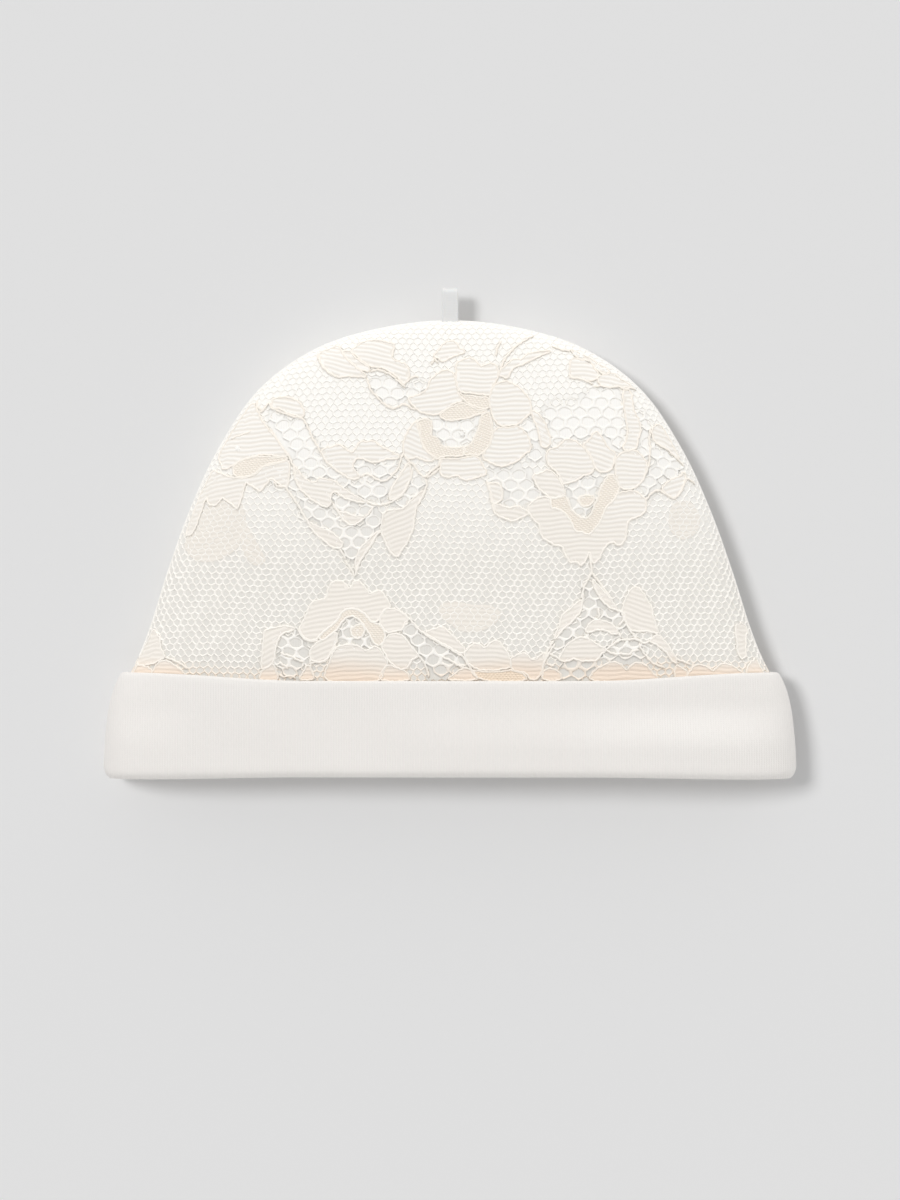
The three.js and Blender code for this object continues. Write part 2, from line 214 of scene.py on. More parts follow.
def add_mesh(name, points, faces, material, smooth_faces=True, uv=None, valley=None):
    """A mesh object from points in the cap's measure. uv holds one pair in millimetres for each point, and
    valley how far each lies down between its neighbours, from 0 to 1, which sets how much painted shade it
    takes."""
    mesh = bpy.data.meshes.new(name)
    mesh.from_pydata(placed(points).tolist(), [], [list(map(int, face)) for face in faces])
    mesh.validate()
    if uv is not None:
        corners = np.empty(len(mesh.loops), dtype=np.int64)
        mesh.loops.foreach_get("vertex_index", corners)
        mesh.uv_layers.new(name="cloth").data.foreach_set("uv", np.asarray(uv)[corners].ravel())
    if valley is not None:
        mesh.attributes.new("valley", "FLOAT", "POINT").data.foreach_set("value", np.asarray(valley, float))
    mesh.polygons.foreach_set("use_smooth", [smooth_faces] * len(mesh.polygons))
    mesh.materials.append(material)
    piece = bpy.data.objects.new(name, mesh)
    bpy.context.collection.objects.link(piece)
    return piece


# Materials
COLOUR_MIX = {"data_type": "RGBA"}


def srgb(text):
    """A hex colour as Blender's linear red, green, blue and alpha."""
    parts = [int(text[i : i + 2], 16) / 255 for i in (1, 3, 5)]
    return [c / 12.92 if c <= 0.04045 else ((c + 0.055) / 1.055) ** 2.4 for c in parts] + [1.0]


def add_node(material, kind, settings=None, **inputs):
    """Adds a node. settings are its properties, and inputs are values or other nodes' outputs, named by
    their socket, or by an underscore and its number."""
    node = material.node_tree.nodes.new(kind)
    for key, value in (settings or {}).items():
        setattr(node, key, value)
    for key, value in inputs.items():
        socket = node.inputs[int(key[1:])] if key[0] == "_" else node.inputs[key.replace("_", " ")]
        if isinstance(value, bpy.types.NodeSocket):
            material.node_tree.links.new(value, socket)
        else:
            socket.default_value = value
    return node


def new_material(name, roughness, sheen=0.0):
    """A matt material. Its sheen is the pale bloom that fine fibres give a cloth's edges."""
    material = bpy.data.materials.new(name)
    material.use_nodes = True
    shader = material.node_tree.nodes["Principled BSDF"]
    shader.inputs["Roughness"].default_value = roughness
    shader.inputs["IOR"].default_value = 1.5
    shader.inputs["Specular IOR Level"].default_value = 0.3
    shader.inputs["Sheen Weight"].default_value = sheen
    shader.inputs["Sheen Roughness"].default_value = 0.5
    return material, shader


# The lace's tone changes between these heights above the mouth, which wander with its patches
TONE_LOW = 52
TONE_HIGH = 82
TONE_WANDER = 60
# The lace is peach and darker just above the cuff: partly the thread's tint and partly painted shade where
# the lace meets the cuff. The peach wanders with the patches too, and is gone some three millimetres up.
# These depths are below the cuff's edge, before it wanders.
PEACH_GONE = 0.8
PEACH_FULL = 4.5
PEACH_WANDER = 8


def lace_thread(name, crown_hex, low_hex, valley_shade_hex, peach_tint_and_shade_hex, roughness):
    """Cotton lace thread: ivory, from one tone at the crown to another below, uneven in patches, peach
    and darker close above the cuff, partly its tint and partly painted shade, and with painted shade in
    between the threads, where the eye looks into the cloth."""
    material, shader = new_material(name, roughness, sheen=0.1)
    place = add_node(material, "ShaderNodeTexCoord").outputs["Object"]
    patches = add_node(material, "ShaderNodeTexNoise", Vector=place, Scale=28.0, Detail=2.0)
    parts = add_node(material, "ShaderNodeSeparateXYZ", Vector=place)
    low_y = (CUFF_HEIGHT - MIDDLE_Y) * MM
    uneven_tone = add_node(
        material, "ShaderNodeMath", {"operation": "MULTIPLY_ADD"},
        _0=patches.outputs["Fac"], _1=TONE_WANDER * MM, _2=parts.outputs["Y"],
    )
    share = add_node(
        material, "ShaderNodeMapRange", Value=uneven_tone.outputs[0],
        From_Min=(TONE_LOW - MIDDLE_Y + TONE_WANDER / 2) * MM,
        From_Max=(TONE_HIGH - MIDDLE_Y + TONE_WANDER / 2) * MM,
    )
    colour = add_node(
        material, "ShaderNodeMix", COLOUR_MIX,
        _0=share.outputs["Result"], _6=srgb(low_hex), _7=srgb(crown_hex),
    )
    # Painted shade: places that lie low between the threads take the darker valley colour
    valley = add_node(material, "ShaderNodeAttribute", {"attribute_name": "valley"})
    between = add_node(
        material, "ShaderNodeMix", COLOUR_MIX,
        _0=valley.outputs["Fac"], _6=colour.outputs[2], _7=srgb(valley_shade_hex),
    )
    # Peach close above the cuff: partly the thread's tint, partly painted shade where the lace meets the
    # cuff
    uneven = add_node(
        material, "ShaderNodeMath", {"operation": "MULTIPLY_ADD"},
        _0=patches.outputs["Fac"], _1=-PEACH_WANDER * MM, _2=parts.outputs["Y"],
    )
    towards = add_node(
        material, "ShaderNodeMapRange", Value=uneven.outputs[0],
        From_Min=low_y - PEACH_GONE * MM, From_Max=low_y - PEACH_FULL * MM, To_Min=0.0, To_Max=1.0,
    )
    mix = add_node(
        material, "ShaderNodeMix", COLOUR_MIX,
        _0=towards.outputs["Result"], _6=between.outputs[2], _7=srgb(peach_tint_and_shade_hex),
    )
    fibre = add_node(material, "ShaderNodeTexNoise", Vector=place, Scale=2600.0, Detail=1.0)
    bump = add_node(
        material, "ShaderNodeBump", Height=fibre.outputs["Fac"], Strength=0.25, Distance=0.0001,
    )
    material.node_tree.links.new(mix.outputs[2], shader.inputs["Base Color"])
    material.node_tree.links.new(bump.outputs["Normal"], shader.inputs["Normal"])
    return material


def jersey(name, base_hex, shade_hex, wale, course, relief, dusk=None):
    """Fine cotton jersey: columns of small knit loops, drawn at wale by course millimetres, soft and matte.
    The loops are drawn a little coarser than real ones, so that they show. dusk is a colour for the
    jersey's lower part, with the height where it starts to fade and over how many millimetres: there the
    lace stands off the jersey and keeps the light from it."""
    material, shader = new_material(name, 0.85, sheen=0.2)
    uv = add_node(material, "ShaderNodeUVMap", {"uv_map": "cloth"}).outputs["UV"]
    parts = add_node(material, "ShaderNodeSeparateXYZ", Vector=uv)
    turns_u = add_node(
        material, "ShaderNodeMath", {"operation": "MULTIPLY"},
        _0=parts.outputs["X"], _1=2 * math.pi / wale,
    )
    # Each loop's legs lean, so the courses rise and fall once across a wale
    columns = add_node(material, "ShaderNodeMath", {"operation": "COSINE"}, _0=turns_u.outputs[0])
    turns_v = add_node(
        material, "ShaderNodeMath", {"operation": "MULTIPLY"},
        _0=parts.outputs["Y"], _1=2 * math.pi / course,
    )
    lean = add_node(
        material, "ShaderNodeMath", {"operation": "MULTIPLY_ADD"},
        _0=columns.outputs[0], _1=1.6, _2=turns_v.outputs[0],
    )
    rows = add_node(material, "ShaderNodeMath", {"operation": "SINE"}, _0=lean.outputs[0])
    loops = add_node(
        material, "ShaderNodeMath", {"operation": "MULTIPLY_ADD"},
        _0=rows.outputs[0], _1=0.35, _2=columns.outputs[0],
    )
    uneven = add_node(material, "ShaderNodeTexNoise", Vector=uv, Scale=0.5, Detail=3.0)
    height = add_node(
        material, "ShaderNodeMath", {"operation": "MULTIPLY_ADD"},
        _0=uneven.outputs["Fac"], _1=2.2, _2=loops.outputs[0],
    )
    share = add_node(
        material, "ShaderNodeMapRange", Value=height.outputs[0],
        From_Min=-0.3, From_Max=2.6, To_Min=1.0, To_Max=0.0,
    )
    colour = add_node(
        material, "ShaderNodeMix", COLOUR_MIX,
        _0=share.outputs["Result"], _6=srgb(base_hex), _7=srgb(shade_hex),
    )
    if dusk:
        dusk_hex, start, reach = dusk
        place = add_node(material, "ShaderNodeTexCoord").outputs["Object"]
        up = add_node(material, "ShaderNodeSeparateXYZ", Vector=place)
        height_mm = (start - MIDDLE_Y) * MM
        depth = add_node(
            material, "ShaderNodeMapRange", Value=up.outputs["Y"],
            From_Min=height_mm, From_Max=height_mm + reach * MM, To_Min=1.0, To_Max=0.0,
        )
        colour = add_node(
            material, "ShaderNodeMix", COLOUR_MIX,
            _0=depth.outputs["Result"], _6=colour.outputs[2], _7=srgb(dusk_hex),
        )
    bump = add_node(material, "ShaderNodeBump", Height=height.outputs[0], Strength=relief, Distance=0.00012)
    material.node_tree.links.new(colour.outputs[2], shader.inputs["Base Color"])
    material.node_tree.links.new(bump.outputs["Normal"], shader.inputs["Normal"])
    return material


def satin(name):
    """Polyester satin ribbon: fine crosswise ribs under a soft lengthwise sheen."""
    material, shader = new_material(name, 0.42, sheen=0.1)
    shader.inputs["Base Color"].default_value = srgb("#E7E6E4")
    shader.inputs["Subsurface Weight"].default_value = 0.1
    uv = add_node(material, "ShaderNodeUVMap", {"uv_map": "cloth"}).outputs["UV"]
    ribs = add_node(
        material, "ShaderNodeTexWave", {"wave_type": "BANDS", "bands_direction": "Y"},
        Vector=uv, Scale=0.8, Distortion=0.6, Detail=1.0,
    )
    bump = add_node(material, "ShaderNodeBump", Height=ribs.outputs["Fac"], Strength=0.25, Distance=0.00008)
    material.node_tree.links.new(bump.outputs["Normal"], shader.inputs["Normal"])
    return material


# Machine-made cotton lace, in four kinds of work. The open net looks palest. Cloth stitch and twill are
# closer and so look warmer, and the cords are plied of thicker thread, which catches a little more light.
NET = lace_thread("cotton_lace_net", "#FBF9F5", "#FDFAF5", "#F6F2EA", "#F4E8DA", 0.8)
CLOTH = lace_thread("cotton_lace_cloth_stitch", "#FCF9F4", "#F7F1E9", "#EDE7DE", "#F3E3D3", 0.8)
TWILL_CLOTH = lace_thread("cotton_lace_twill", "#FBF5EC", "#F5EDE2", "#EFE6DA", "#F1E0CC", 0.8)
CORD = lace_thread("cotton_lace_cord", "#FBF4EA", "#FDF8F0", "#F6ECE0", "#FAF0E4", 0.7)
# The band is heavier jersey than the lining, and its loops show more
CUFF_JERSEY = jersey("cotton_jersey_band", "#EEEAE6", "#EBE8E4", 0.62, 0.5, 0.2)
LINING_JERSEY = jersey("cotton_jersey_lining", "#FBF9F5", "#F9F7F3", 0.6, 0.5, 0.07, ("#E5E2DC", 50, 32))
RIBBON = satin("polyester_satin_ribbon")

# The lining: a smooth bag inside the lace


def ring_points(rows, around, out):
    """Points around the bag, a ring for each height in rows."""
    turn = np.arange(around) * 2 * math.pi / around
    points = []
    for y in rows:
        x = skin_half(y) * np.cos(turn)
        y_all = np.full(around, y)
        front = layer(x, y_all, FRONT, np.full(around, out))
        back = layer(x, y_all, BACK, np.full(around, out))
        points.append(np.where((turn <= math.pi)[:, None], front, back))
    return np.array(points)


def build_lining():
    around = 200
    low_rows = np.linspace(CROWN_START, 2 * CROWN_START, 24)
    turn = np.linspace(0.02, math.pi / 2, 44, endpoint=False)
    rows = np.concatenate([low_rows, low_rows[-1] + (SKIN_LENGTH - low_rows[-1]) * np.sin(turn)])
    points = []
    faces = []
    uv = []
    count = len(rows) * around + 1
    for level in (0.0, LINING_LEVEL):
        rings = ring_points(rows, around, level)
        points += [*rings.reshape(-1, 3), np.array([0, SKIN_LENGTH + level, SEAM_HEIGHT])]
        # The cloth's columns of loops run up the cap, so they keep their place across it
        uv += [*rings[..., :2].reshape(-1, 2), np.array([0, SKIN_LENGTH])]
    top = len(rows) - 1
    for row in range(top):
        for step in range(around):
            a = row * around + step
            b = row * around + (step + 1) % around
            faces.append((a, b, b + around, a + around))
            faces.append((count + a, count + a + around, count + b + around, count + b))
    for step in range(around):
        a = step
        b = (step + 1) % around
        faces.append((top * around + a, top * around + b, count - 1))
        faces.append((count + top * around + a, 2 * count - 1, count + top * around + b))
        faces.append((a, count + a, count + b, b))
    return add_mesh("jersey_lining", points, faces, LINING_JERSEY, uv=uv)


# The lace is laid out flat and then wrapped over the lining. Flat places agree with x and y over the middle
# of the cap. Near the seam the cloth turns down, so more of it lies within each millimetre across. A place
# nearer to its foot on the seam than WRAP_NEAR takes the seam's own direction.
WRAP_OUT = LACE_IN + 0.4
WRAP_REACH = 18.0
WRAP_STEP = 0.1
WRAP_NEAR = 0.3


def seam_feet():
    """Places along the seam, from the right lower corner over the crown to the left one, with their inward
    directions."""
    right = OUTLINE[OUTLINE[:, 1] > CROWN_START - 6]
    line = np.vstack([right, (right * [-1, 1])[-2::-1]])
    run = np.concatenate([[0], np.cumsum(np.linalg.norm(np.diff(line, axis=0), axis=1))])
    even = np.linspace(0, run[-1], 1200)
    feet = np.stack([np.interp(even, run, line[:, 0]), np.interp(even, run, line[:, 1])], -1)
    along = np.gradient(feet, axis=0)
    inward = np.stack([-along[:, 1], along[:, 0]], -1)
    return feet, inward / np.linalg.norm(inward, axis=1, keepdims=True)


FEET, INWARD = seam_feet()


def wrap_tables(side):
    """For each foot: the distance in from the seam at each cloth length from it, and the cloth to spare."""
    deep = np.linspace(0, WRAP_REACH, 150) ** 2 / WRAP_REACH
    lengths = np.arange(0, WRAP_REACH + 8, WRAP_STEP)
    inner = []
    spare = []
    for foot, inward in zip(FEET, INWARD):
        x = foot[0] + inward[0] * deep
        y = foot[1] + inward[1] * deep
        points = layer(x, y, side, np.full(len(deep), WRAP_OUT))
        arc = np.concatenate([[0], np.cumsum(np.linalg.norm(np.diff(points, axis=0), axis=1))])
        spare.append(arc[-1] - deep[-1])
        beyond = np.maximum(0, lengths - arc[-1])
        inner.append(np.interp(lengths, arc, deep) + beyond)
    return np.array(inner), np.array(spare)


WRAP = {side: wrap_tables(side) for side in (FRONT, BACK)}


def cloth_depth(flat, side):
    """For flat places: the nearest foot, and the cloth length in from the seam, negative outside it."""
    nearest = np.empty(len(flat), dtype=int)
    for start in range(0, len(flat), 2000):
        block = flat[start : start + 2000]
        gaps = ((block[:, None, :] - FEET[None, :, :]) ** 2).sum(-1)
        nearest[start : start + 2000] = gaps.argmin(1)
    offset = flat - FEET[nearest]
    inside = (offset * INWARD[nearest]).sum(-1)
    distance = np.linalg.norm(offset, axis=1) * np.sign(inside)
    return nearest, distance + WRAP[side][1][nearest]


def wrapped(flat, side, out):
    """Flat places as points on the cap, at a distance outside the skin."""
    flat = np.asarray(flat, float)
    nearest, depth = cloth_depth(flat, side)
    inner, spare = WRAP[side]
    depth = np.maximum(depth, 0)
    place = np.minimum(depth / WRAP_STEP, inner.shape[1] - 1.001)
    low = place.astype(int)
    share = place - low
    deep = inner[nearest, low] * (1 - share) + inner[nearest, low + 1] * share
    near = (depth < WRAP_REACH)[:, None]
    offset = flat - FEET[nearest]
    direction = np.where(
        (np.abs(depth - spare[nearest]) > WRAP_NEAR)[:, None],
        offset / np.maximum(1e-6, np.linalg.norm(offset, axis=1, keepdims=True))
        * np.sign(depth - spare[nearest])[:, None],
        INWARD[nearest],
    )
    plan = np.where(near, FEET[nearest] + direction * deep[:, None], flat)
    x = plan[:, 0]
    y = np.maximum(plan[:, 1], CROWN_START)
    limit = skin_half(y)
    x = np.clip(x, -limit, limit)
    return layer(x, y, side, np.broadcast_to(out, x.shape))


# The lace's pattern, charted on squared paper: columns from the left and rows from the top, one
# square being CHART_SQUARE millimetres of lace.
CHART_SQUARE = 0.2453
CHART_MIDDLE = 450
CHART_MOUTH = 778

# Closed shapes worked in ribbed cloth stitch and edged with a cord
RIBBED = (
    ((409, 401), (421, 397), (428, 390), (431, 382), (438, 376), (446, 372), (452, 375), (456, 383),
     (458, 395), (462, 403), (455, 406), (447, 411), (440, 416), (430, 417), (420, 414), (412, 407)),
    ((457, 366), (462, 362), (470, 360), (476, 363), (481, 369), (487, 366), (493, 366), (498, 372),
     (497, 380), (492, 390), (489, 398), (480, 397), (470, 396), (462, 395), (457, 390), (456, 378)),
    ((489, 401), (493, 390), (499, 385), (507, 384), (514, 387), (521, 393), (527, 400), (530, 407),
     (530, 414), (524, 421), (518, 426), (509, 428), (498, 427), (492, 418)),
    ((496, 431), (509, 430), (517, 429), (524, 434), (528, 441), (530, 451), (524, 456), (519, 461),
     (510, 466), (503, 468), (495, 467), (488, 463), (482, 460), (485, 453), (490, 445), (492, 437)),
    ((404, 446), (406, 438), (411, 430), (416, 424), (420, 428), (421, 440), (424, 450), (430, 456),
     (436, 459), (433, 462), (427, 463), (421, 461), (417, 459), (411, 461), (407, 460), (404, 454)),
    ((441, 461), (452, 461), (463, 460), (474, 458), (479, 461), (483, 468), (486, 475), (481, 478),
     (473, 480), (466, 482), (461, 480), (457, 477), (450, 479), (444, 478), (440, 475), (441, 467)),
    ((409, 466), (412, 472), (411, 480), (409, 485), (406, 491), (401, 497), (395, 500), (390, 501),
     (391, 494), (394, 487), (399, 479), (404, 472)),
    ((498, 377), (502, 371), (508, 365), (514, 361), (521, 361), (528, 355), (536, 353), (551, 351),
     (540, 357), (532, 361), (523, 366), (515, 369), (510, 374), (507, 381), (502, 379)),
    ((434, 358), (440, 350), (445, 344), (450, 342), (456, 344), (460, 350), (465, 353), (458, 357),
     (451, 359), (443, 364), (438, 360)),
    ((531, 414), (537, 416), (543, 424), (547, 434), (549, 447), (541, 449), (538, 436), (534, 425)),
    ((545, 460), (548, 452), (556, 449), (561, 445), (565, 441), (572, 443), (580, 448), (585, 454),
     (590, 462), (592, 471), (588, 476), (582, 477), (577, 481), (568, 484), (562, 486), (558, 478),
     (553, 472), (547, 466)),
    ((582, 448), (588, 441), (594, 434), (598, 437), (602, 444), (607, 451), (613, 456), (611, 465),
     (608, 472), (601, 474), (594, 471), (591, 463), (587, 455)),
    ((613, 462), (618, 456), (625, 453), (633, 452), (640, 457), (645, 464), (644, 473), (641, 481),
     (636, 487), (630, 490), (622, 491), (617, 488), (614, 479), (613, 470)),
    ((532, 478), (539, 475), (547, 472), (553, 475), (558, 482), (562, 489), (563, 496), (556, 499),
     (549, 499), (543, 495), (537, 489), (534, 484)),
    ((528, 514), (532, 520), (538, 526), (539, 533), (543, 540), (549, 543), (554, 546), (560, 547),
     (564, 556), (569, 563), (574, 562), (579, 566), (584, 560), (588, 553), (591, 564), (597, 559),
     (601, 551), (605, 545), (610, 543), (617, 546), (623, 540), (624, 531), (627, 521), (635, 518),
     (641, 514), (644, 503), (639, 497), (633, 493), (625, 493), (616, 495), (610, 503), (603, 510),
     (600, 519), (595, 527), (587, 535), (580, 533), (574, 532), (570, 524), (564, 515), (556, 510),
     (550, 509), (549, 501), (543, 498), (535, 501), (527, 508)),
    ((493, 505), (500, 507), (508, 509), (518, 508), (524, 511), (528, 514), (520, 519), (511, 522),
     (503, 519), (494, 514)),
    ((488, 486), (497, 485), (502, 492), (500, 502), (492, 505), (490, 496)),
    ((661, 490), (664, 485), (669, 481), (678, 477), (685, 472), (687, 477), (684, 484), (681, 490),
     (677, 496), (672, 498), (666, 496)),
    ((623, 393), (628, 390), (632, 393), (632, 402), (634, 412), (638, 421), (640, 430), (637, 441),
     (634, 450), (627, 452), (621, 450), (625, 441), (626, 430), (624, 415)),
    ((652, 430), (657, 425), (662, 424), (669, 434), (675, 446), (681, 459), (675, 456), (669, 450),
     (661, 446), (654, 442)),
    ((572, 349), (580, 352), (590, 356), (598, 362), (606, 366), (611, 370), (604, 374), (597, 370),
     (589, 360), (578, 358)),
    ((572, 359), (580, 360), (589, 361), (594, 367), (598, 376), (594, 381), (586, 382), (578, 380),
     (570, 379)),
    ((597, 378), (608, 374), (614, 372), (621, 377), (628, 381), (634, 386), (626, 388), (618, 387),
     (610, 388), (601, 387)),
    ((579, 600), (575, 603), (570, 608), (564, 612), (560, 617), (558, 624), (555, 632), (552, 640),
     (560, 631), (565, 626), (571, 621), (576, 615), (580, 608)),
    ((591, 580), (595, 584), (599, 589), (604, 594), (611, 603), (614, 609), (608, 608), (602, 603),
     (597, 596), (593, 589)),
    ((620, 611), (622, 603), (625, 595), (631, 588), (636, 588), (640, 593), (645, 601), (649, 608),
     (651, 618), (654, 628), (656, 633), (649, 632), (642, 631), (634, 631), (628, 630), (624, 623),
     (621, 617)),
    ((584, 631), (587, 624), (591, 621), (598, 620), (605, 622), (612, 626), (616, 632), (610, 634),
     (603, 630), (594, 630), (588, 632)),
    ((647, 641), (651, 637), (656, 635), (661, 640), (665, 645), (669, 651), (673, 658), (674, 663),
     (670, 661), (665, 654), (659, 648), (653, 644)),
    ((588, 678), (592, 670), (598, 666), (604, 663), (611, 661), (618, 663), (624, 669), (628, 665),
     (634, 662), (641, 663), (646, 667), (651, 673), (656, 678)),
    ((684, 678), (688, 669), (692, 665), (698, 664), (704, 666), (710, 670), (715, 666), (721, 663),
     (728, 664), (735, 668), (741, 672), (744, 678)),
    ((673, 678), (672, 670), (674, 664), (678, 667), (684, 671), (684, 678)),
    ((746, 678), (747, 666), (752, 660), (757, 656), (761, 664), (765, 672), (766, 678)),
    ((736, 626), (741, 623), (746, 623), (750, 629), (747, 637), (746, 646), (745, 656), (740, 658),
     (737, 652), (736, 640)),
    ((558, 659), (561, 651), (566, 644), (573, 639), (580, 637), (586, 638), (592, 642), (599, 646),
     (604, 649), (600, 653), (595, 659), (588, 660), (580, 660), (572, 658), (566, 660)),
    ((426, 633), (431, 630), (437, 628), (442, 627), (447, 630), (452, 635), (457, 640), (462, 645),
     (465, 650), (462, 653), (455, 650), (448, 646), (440, 642), (432, 637)),
    ((464, 653), (468, 648), (475, 643), (480, 644), (484, 648), (488, 644), (492, 641), (498, 641),
     (503, 647), (508, 655), (510, 665), (500, 668), (490, 669), (478, 668), (470, 664)),
    ((510, 658), (514, 655), (519, 653), (525, 653), (530, 658), (534, 659), (538, 655), (543, 652),
     (545, 656), (542, 663), (540, 671), (536, 678), (529, 678), (524, 672), (517, 670), (511, 668)),
    ((448, 678), (454, 674), (459, 669), (465, 667), (470, 668), (474, 674), (477, 678)),
    ((541, 678), (543, 670), (549, 667), (556, 670), (560, 678)),
    ((302, 629), (305, 621), (309, 613), (311, 607), (315, 602), (321, 600), (328, 598), (329, 591),
     (333, 584), (339, 581), (344, 582), (351, 589), (354, 584), (358, 581), (364, 585), (368, 591),
     (371, 594), (376, 592), (381, 591), (385, 595), (388, 600), (391, 608), (385, 610), (382, 616),
     (379, 621), (372, 621), (366, 614), (361, 611), (355, 609), (349, 609), (344, 612), (340, 618),
     (334, 625), (329, 628), (324, 633), (319, 638), (312, 640), (307, 638)),
    ((383, 614), (387, 609), (393, 609), (400, 611), (405, 615), (409, 620), (405, 624), (403, 629),
     (397, 631), (388, 632), (384, 629), (381, 622)),
    ((313, 648), (318, 643), (325, 639), (332, 635), (338, 632), (338, 641), (335, 647), (332, 653),
     (329, 658), (324, 661), (318, 661), (313, 659), (312, 653)),
    ((339, 646), (345, 645), (352, 644), (358, 645), (363, 648), (367, 650), (372, 648), (377, 646),
     (382, 650), (385, 656), (389, 662), (385, 668), (382, 678), (327, 678), (328, 668), (332, 659),
     (335, 651)),
    ((385, 640), (388, 636), (393, 634), (400, 634), (404, 636), (408, 641), (412, 646), (416, 651),
     (419, 656), (414, 658), (411, 661), (409, 666), (405, 668), (399, 667), (394, 664), (389, 659),
     (386, 653), (383, 648)),
    ((267, 631), (272, 629), (280, 627), (288, 626), (297, 628), (292, 631), (286, 633), (281, 638),
     (279, 645), (277, 652), (277, 658), (273, 664), (268, 667), (264, 668), (264, 660), (265, 650),
     (266, 640)),
    ((262, 678), (265, 670), (270, 666), (275, 663), (278, 669), (280, 678)),
    ((381, 678), (384, 669), (389, 664), (394, 665), (400, 668), (406, 670), (410, 678)),
    ((302, 678), (305, 671), (310, 664), (313, 668), (315, 678)),
    ((323, 454), (328, 450), (334, 449), (340, 447), (346, 450), (353, 455), (357, 450), (362, 444),
     (367, 444), (373, 443), (378, 446), (386, 451), (394, 455), (400, 459), (394, 461), (386, 461),
     (379, 464), (372, 464), (364, 461), (357, 461), (354, 468), (358, 475), (361, 479), (357, 481),
     (351, 480), (345, 477), (339, 473), (334, 469), (329, 465), (326, 460)),
    ((296, 468), (303, 476), (309, 482), (317, 484), (321, 480), (328, 481), (336, 483), (341, 487),
     (346, 491), (352, 495), (360, 499), (367, 504), (358, 503), (350, 501), (342, 497), (336, 493),
     (332, 498), (333, 504), (329, 508), (323, 507), (317, 503), (312, 500), (307, 495), (302, 490),
     (298, 482)),
    ((340, 513), (347, 514), (356, 517), (366, 518), (360, 523), (353, 526), (348, 524), (343, 518)),
    ((311, 523), (318, 527), (326, 530), (334, 534), (340, 539), (344, 545), (341, 549), (335, 548),
     (330, 545), (324, 540), (318, 535), (313, 529)),
    ((382, 531), (377, 537), (372, 546), (366, 554), (361, 562), (357, 572), (357, 560), (360, 552),
     (364, 546), (370, 540), (376, 534)),
    ((382, 530), (383, 520), (387, 512), (395, 511), (402, 510), (408, 506), (413, 500), (418, 496),
     (424, 492), (421, 501), (417, 508), (415, 517), (414, 527), (411, 536), (407, 544), (402, 551),
     (398, 557), (393, 555), (388, 547), (384, 538)),
    ((251, 402), (256, 408), (262, 420), (269, 430), (276, 438), (284, 449), (290, 458), (280, 458),
     (266, 456), (250, 459), (240, 462), (232, 467), (224, 469), (218, 460), (216, 454), (222, 443),
     (228, 432), (236, 420), (243, 410)),
    ((220, 473), (232, 478), (246, 479), (258, 475), (266, 468), (276, 466), (290, 463), (292, 472),
     (291, 480), (289, 489), (279, 484), (273, 480), (272, 481), (271, 484), (263, 492), (262, 493),
     (261, 492), (249, 484), (248, 483), (247, 486), (240, 509), (239, 510), (238, 509), (225, 499),
     (224, 498), (223, 499), (217, 505), (209, 505), (208, 504), (207, 498), (206, 497), (205, 499),
     (193, 532), (192, 533), (184, 534), (190, 515), (196, 497), (205, 480), (211, 470)),
    ((151, 629), (156, 633), (160, 640), (162, 648), (166, 657), (160, 660), (152, 663), (134, 662),
     (138, 650), (144, 640)),
    ((152, 678), (156, 667), (161, 661), (167, 660), (173, 662), (180, 667), (186, 672), (188, 678)),
    ((134, 664), (145, 665), (152, 668), (153, 672), (150, 678), (132, 678)),
    ((273, 401), (280, 398), (290, 399), (298, 402), (303, 408), (306, 415), (303, 419), (296, 417),
     (288, 414), (280, 410), (273, 408)),
    ((318, 353), (327, 348), (338, 345), (343, 355), (349, 362), (356, 369), (363, 374), (367, 379),
     (360, 379), (350, 378), (341, 379), (334, 377), (328, 372), (322, 365), (319, 359)),
    ((343, 352), (350, 352), (356, 359), (362, 364), (369, 369), (370, 373), (362, 372), (355, 367),
     (348, 360)),
    ((352, 352), (358, 345), (366, 341), (373, 340), (380, 341), (388, 343), (394, 346), (394, 352),
     (392, 360), (400, 364), (406, 367), (409, 372), (409, 379), (405, 387), (400, 382), (393, 376),
     (385, 371), (376, 369), (370, 368), (363, 363), (357, 357)),
)
# Ribbed patches that run out into the net with no edging
UNEDGED = (
    ((440, 606), (455, 602), (472, 605), (490, 606), (500, 613), (496, 622), (480, 631), (462, 631),
     (450, 624), (440, 614)),
    ((196, 530), (205, 507), (216, 506), (224, 501), (232, 506), (239, 512), (244, 506), (248, 520),
     (246, 536), (240, 548), (230, 556), (218, 561), (204, 562), (192, 557), (184, 546), (184, 537)),
    ((246, 520), (254, 534), (262, 548), (268, 562), (258, 566), (248, 556), (244, 544)),
    ((672, 505), (690, 502), (700, 515), (696, 532), (680, 540), (668, 530)),
)
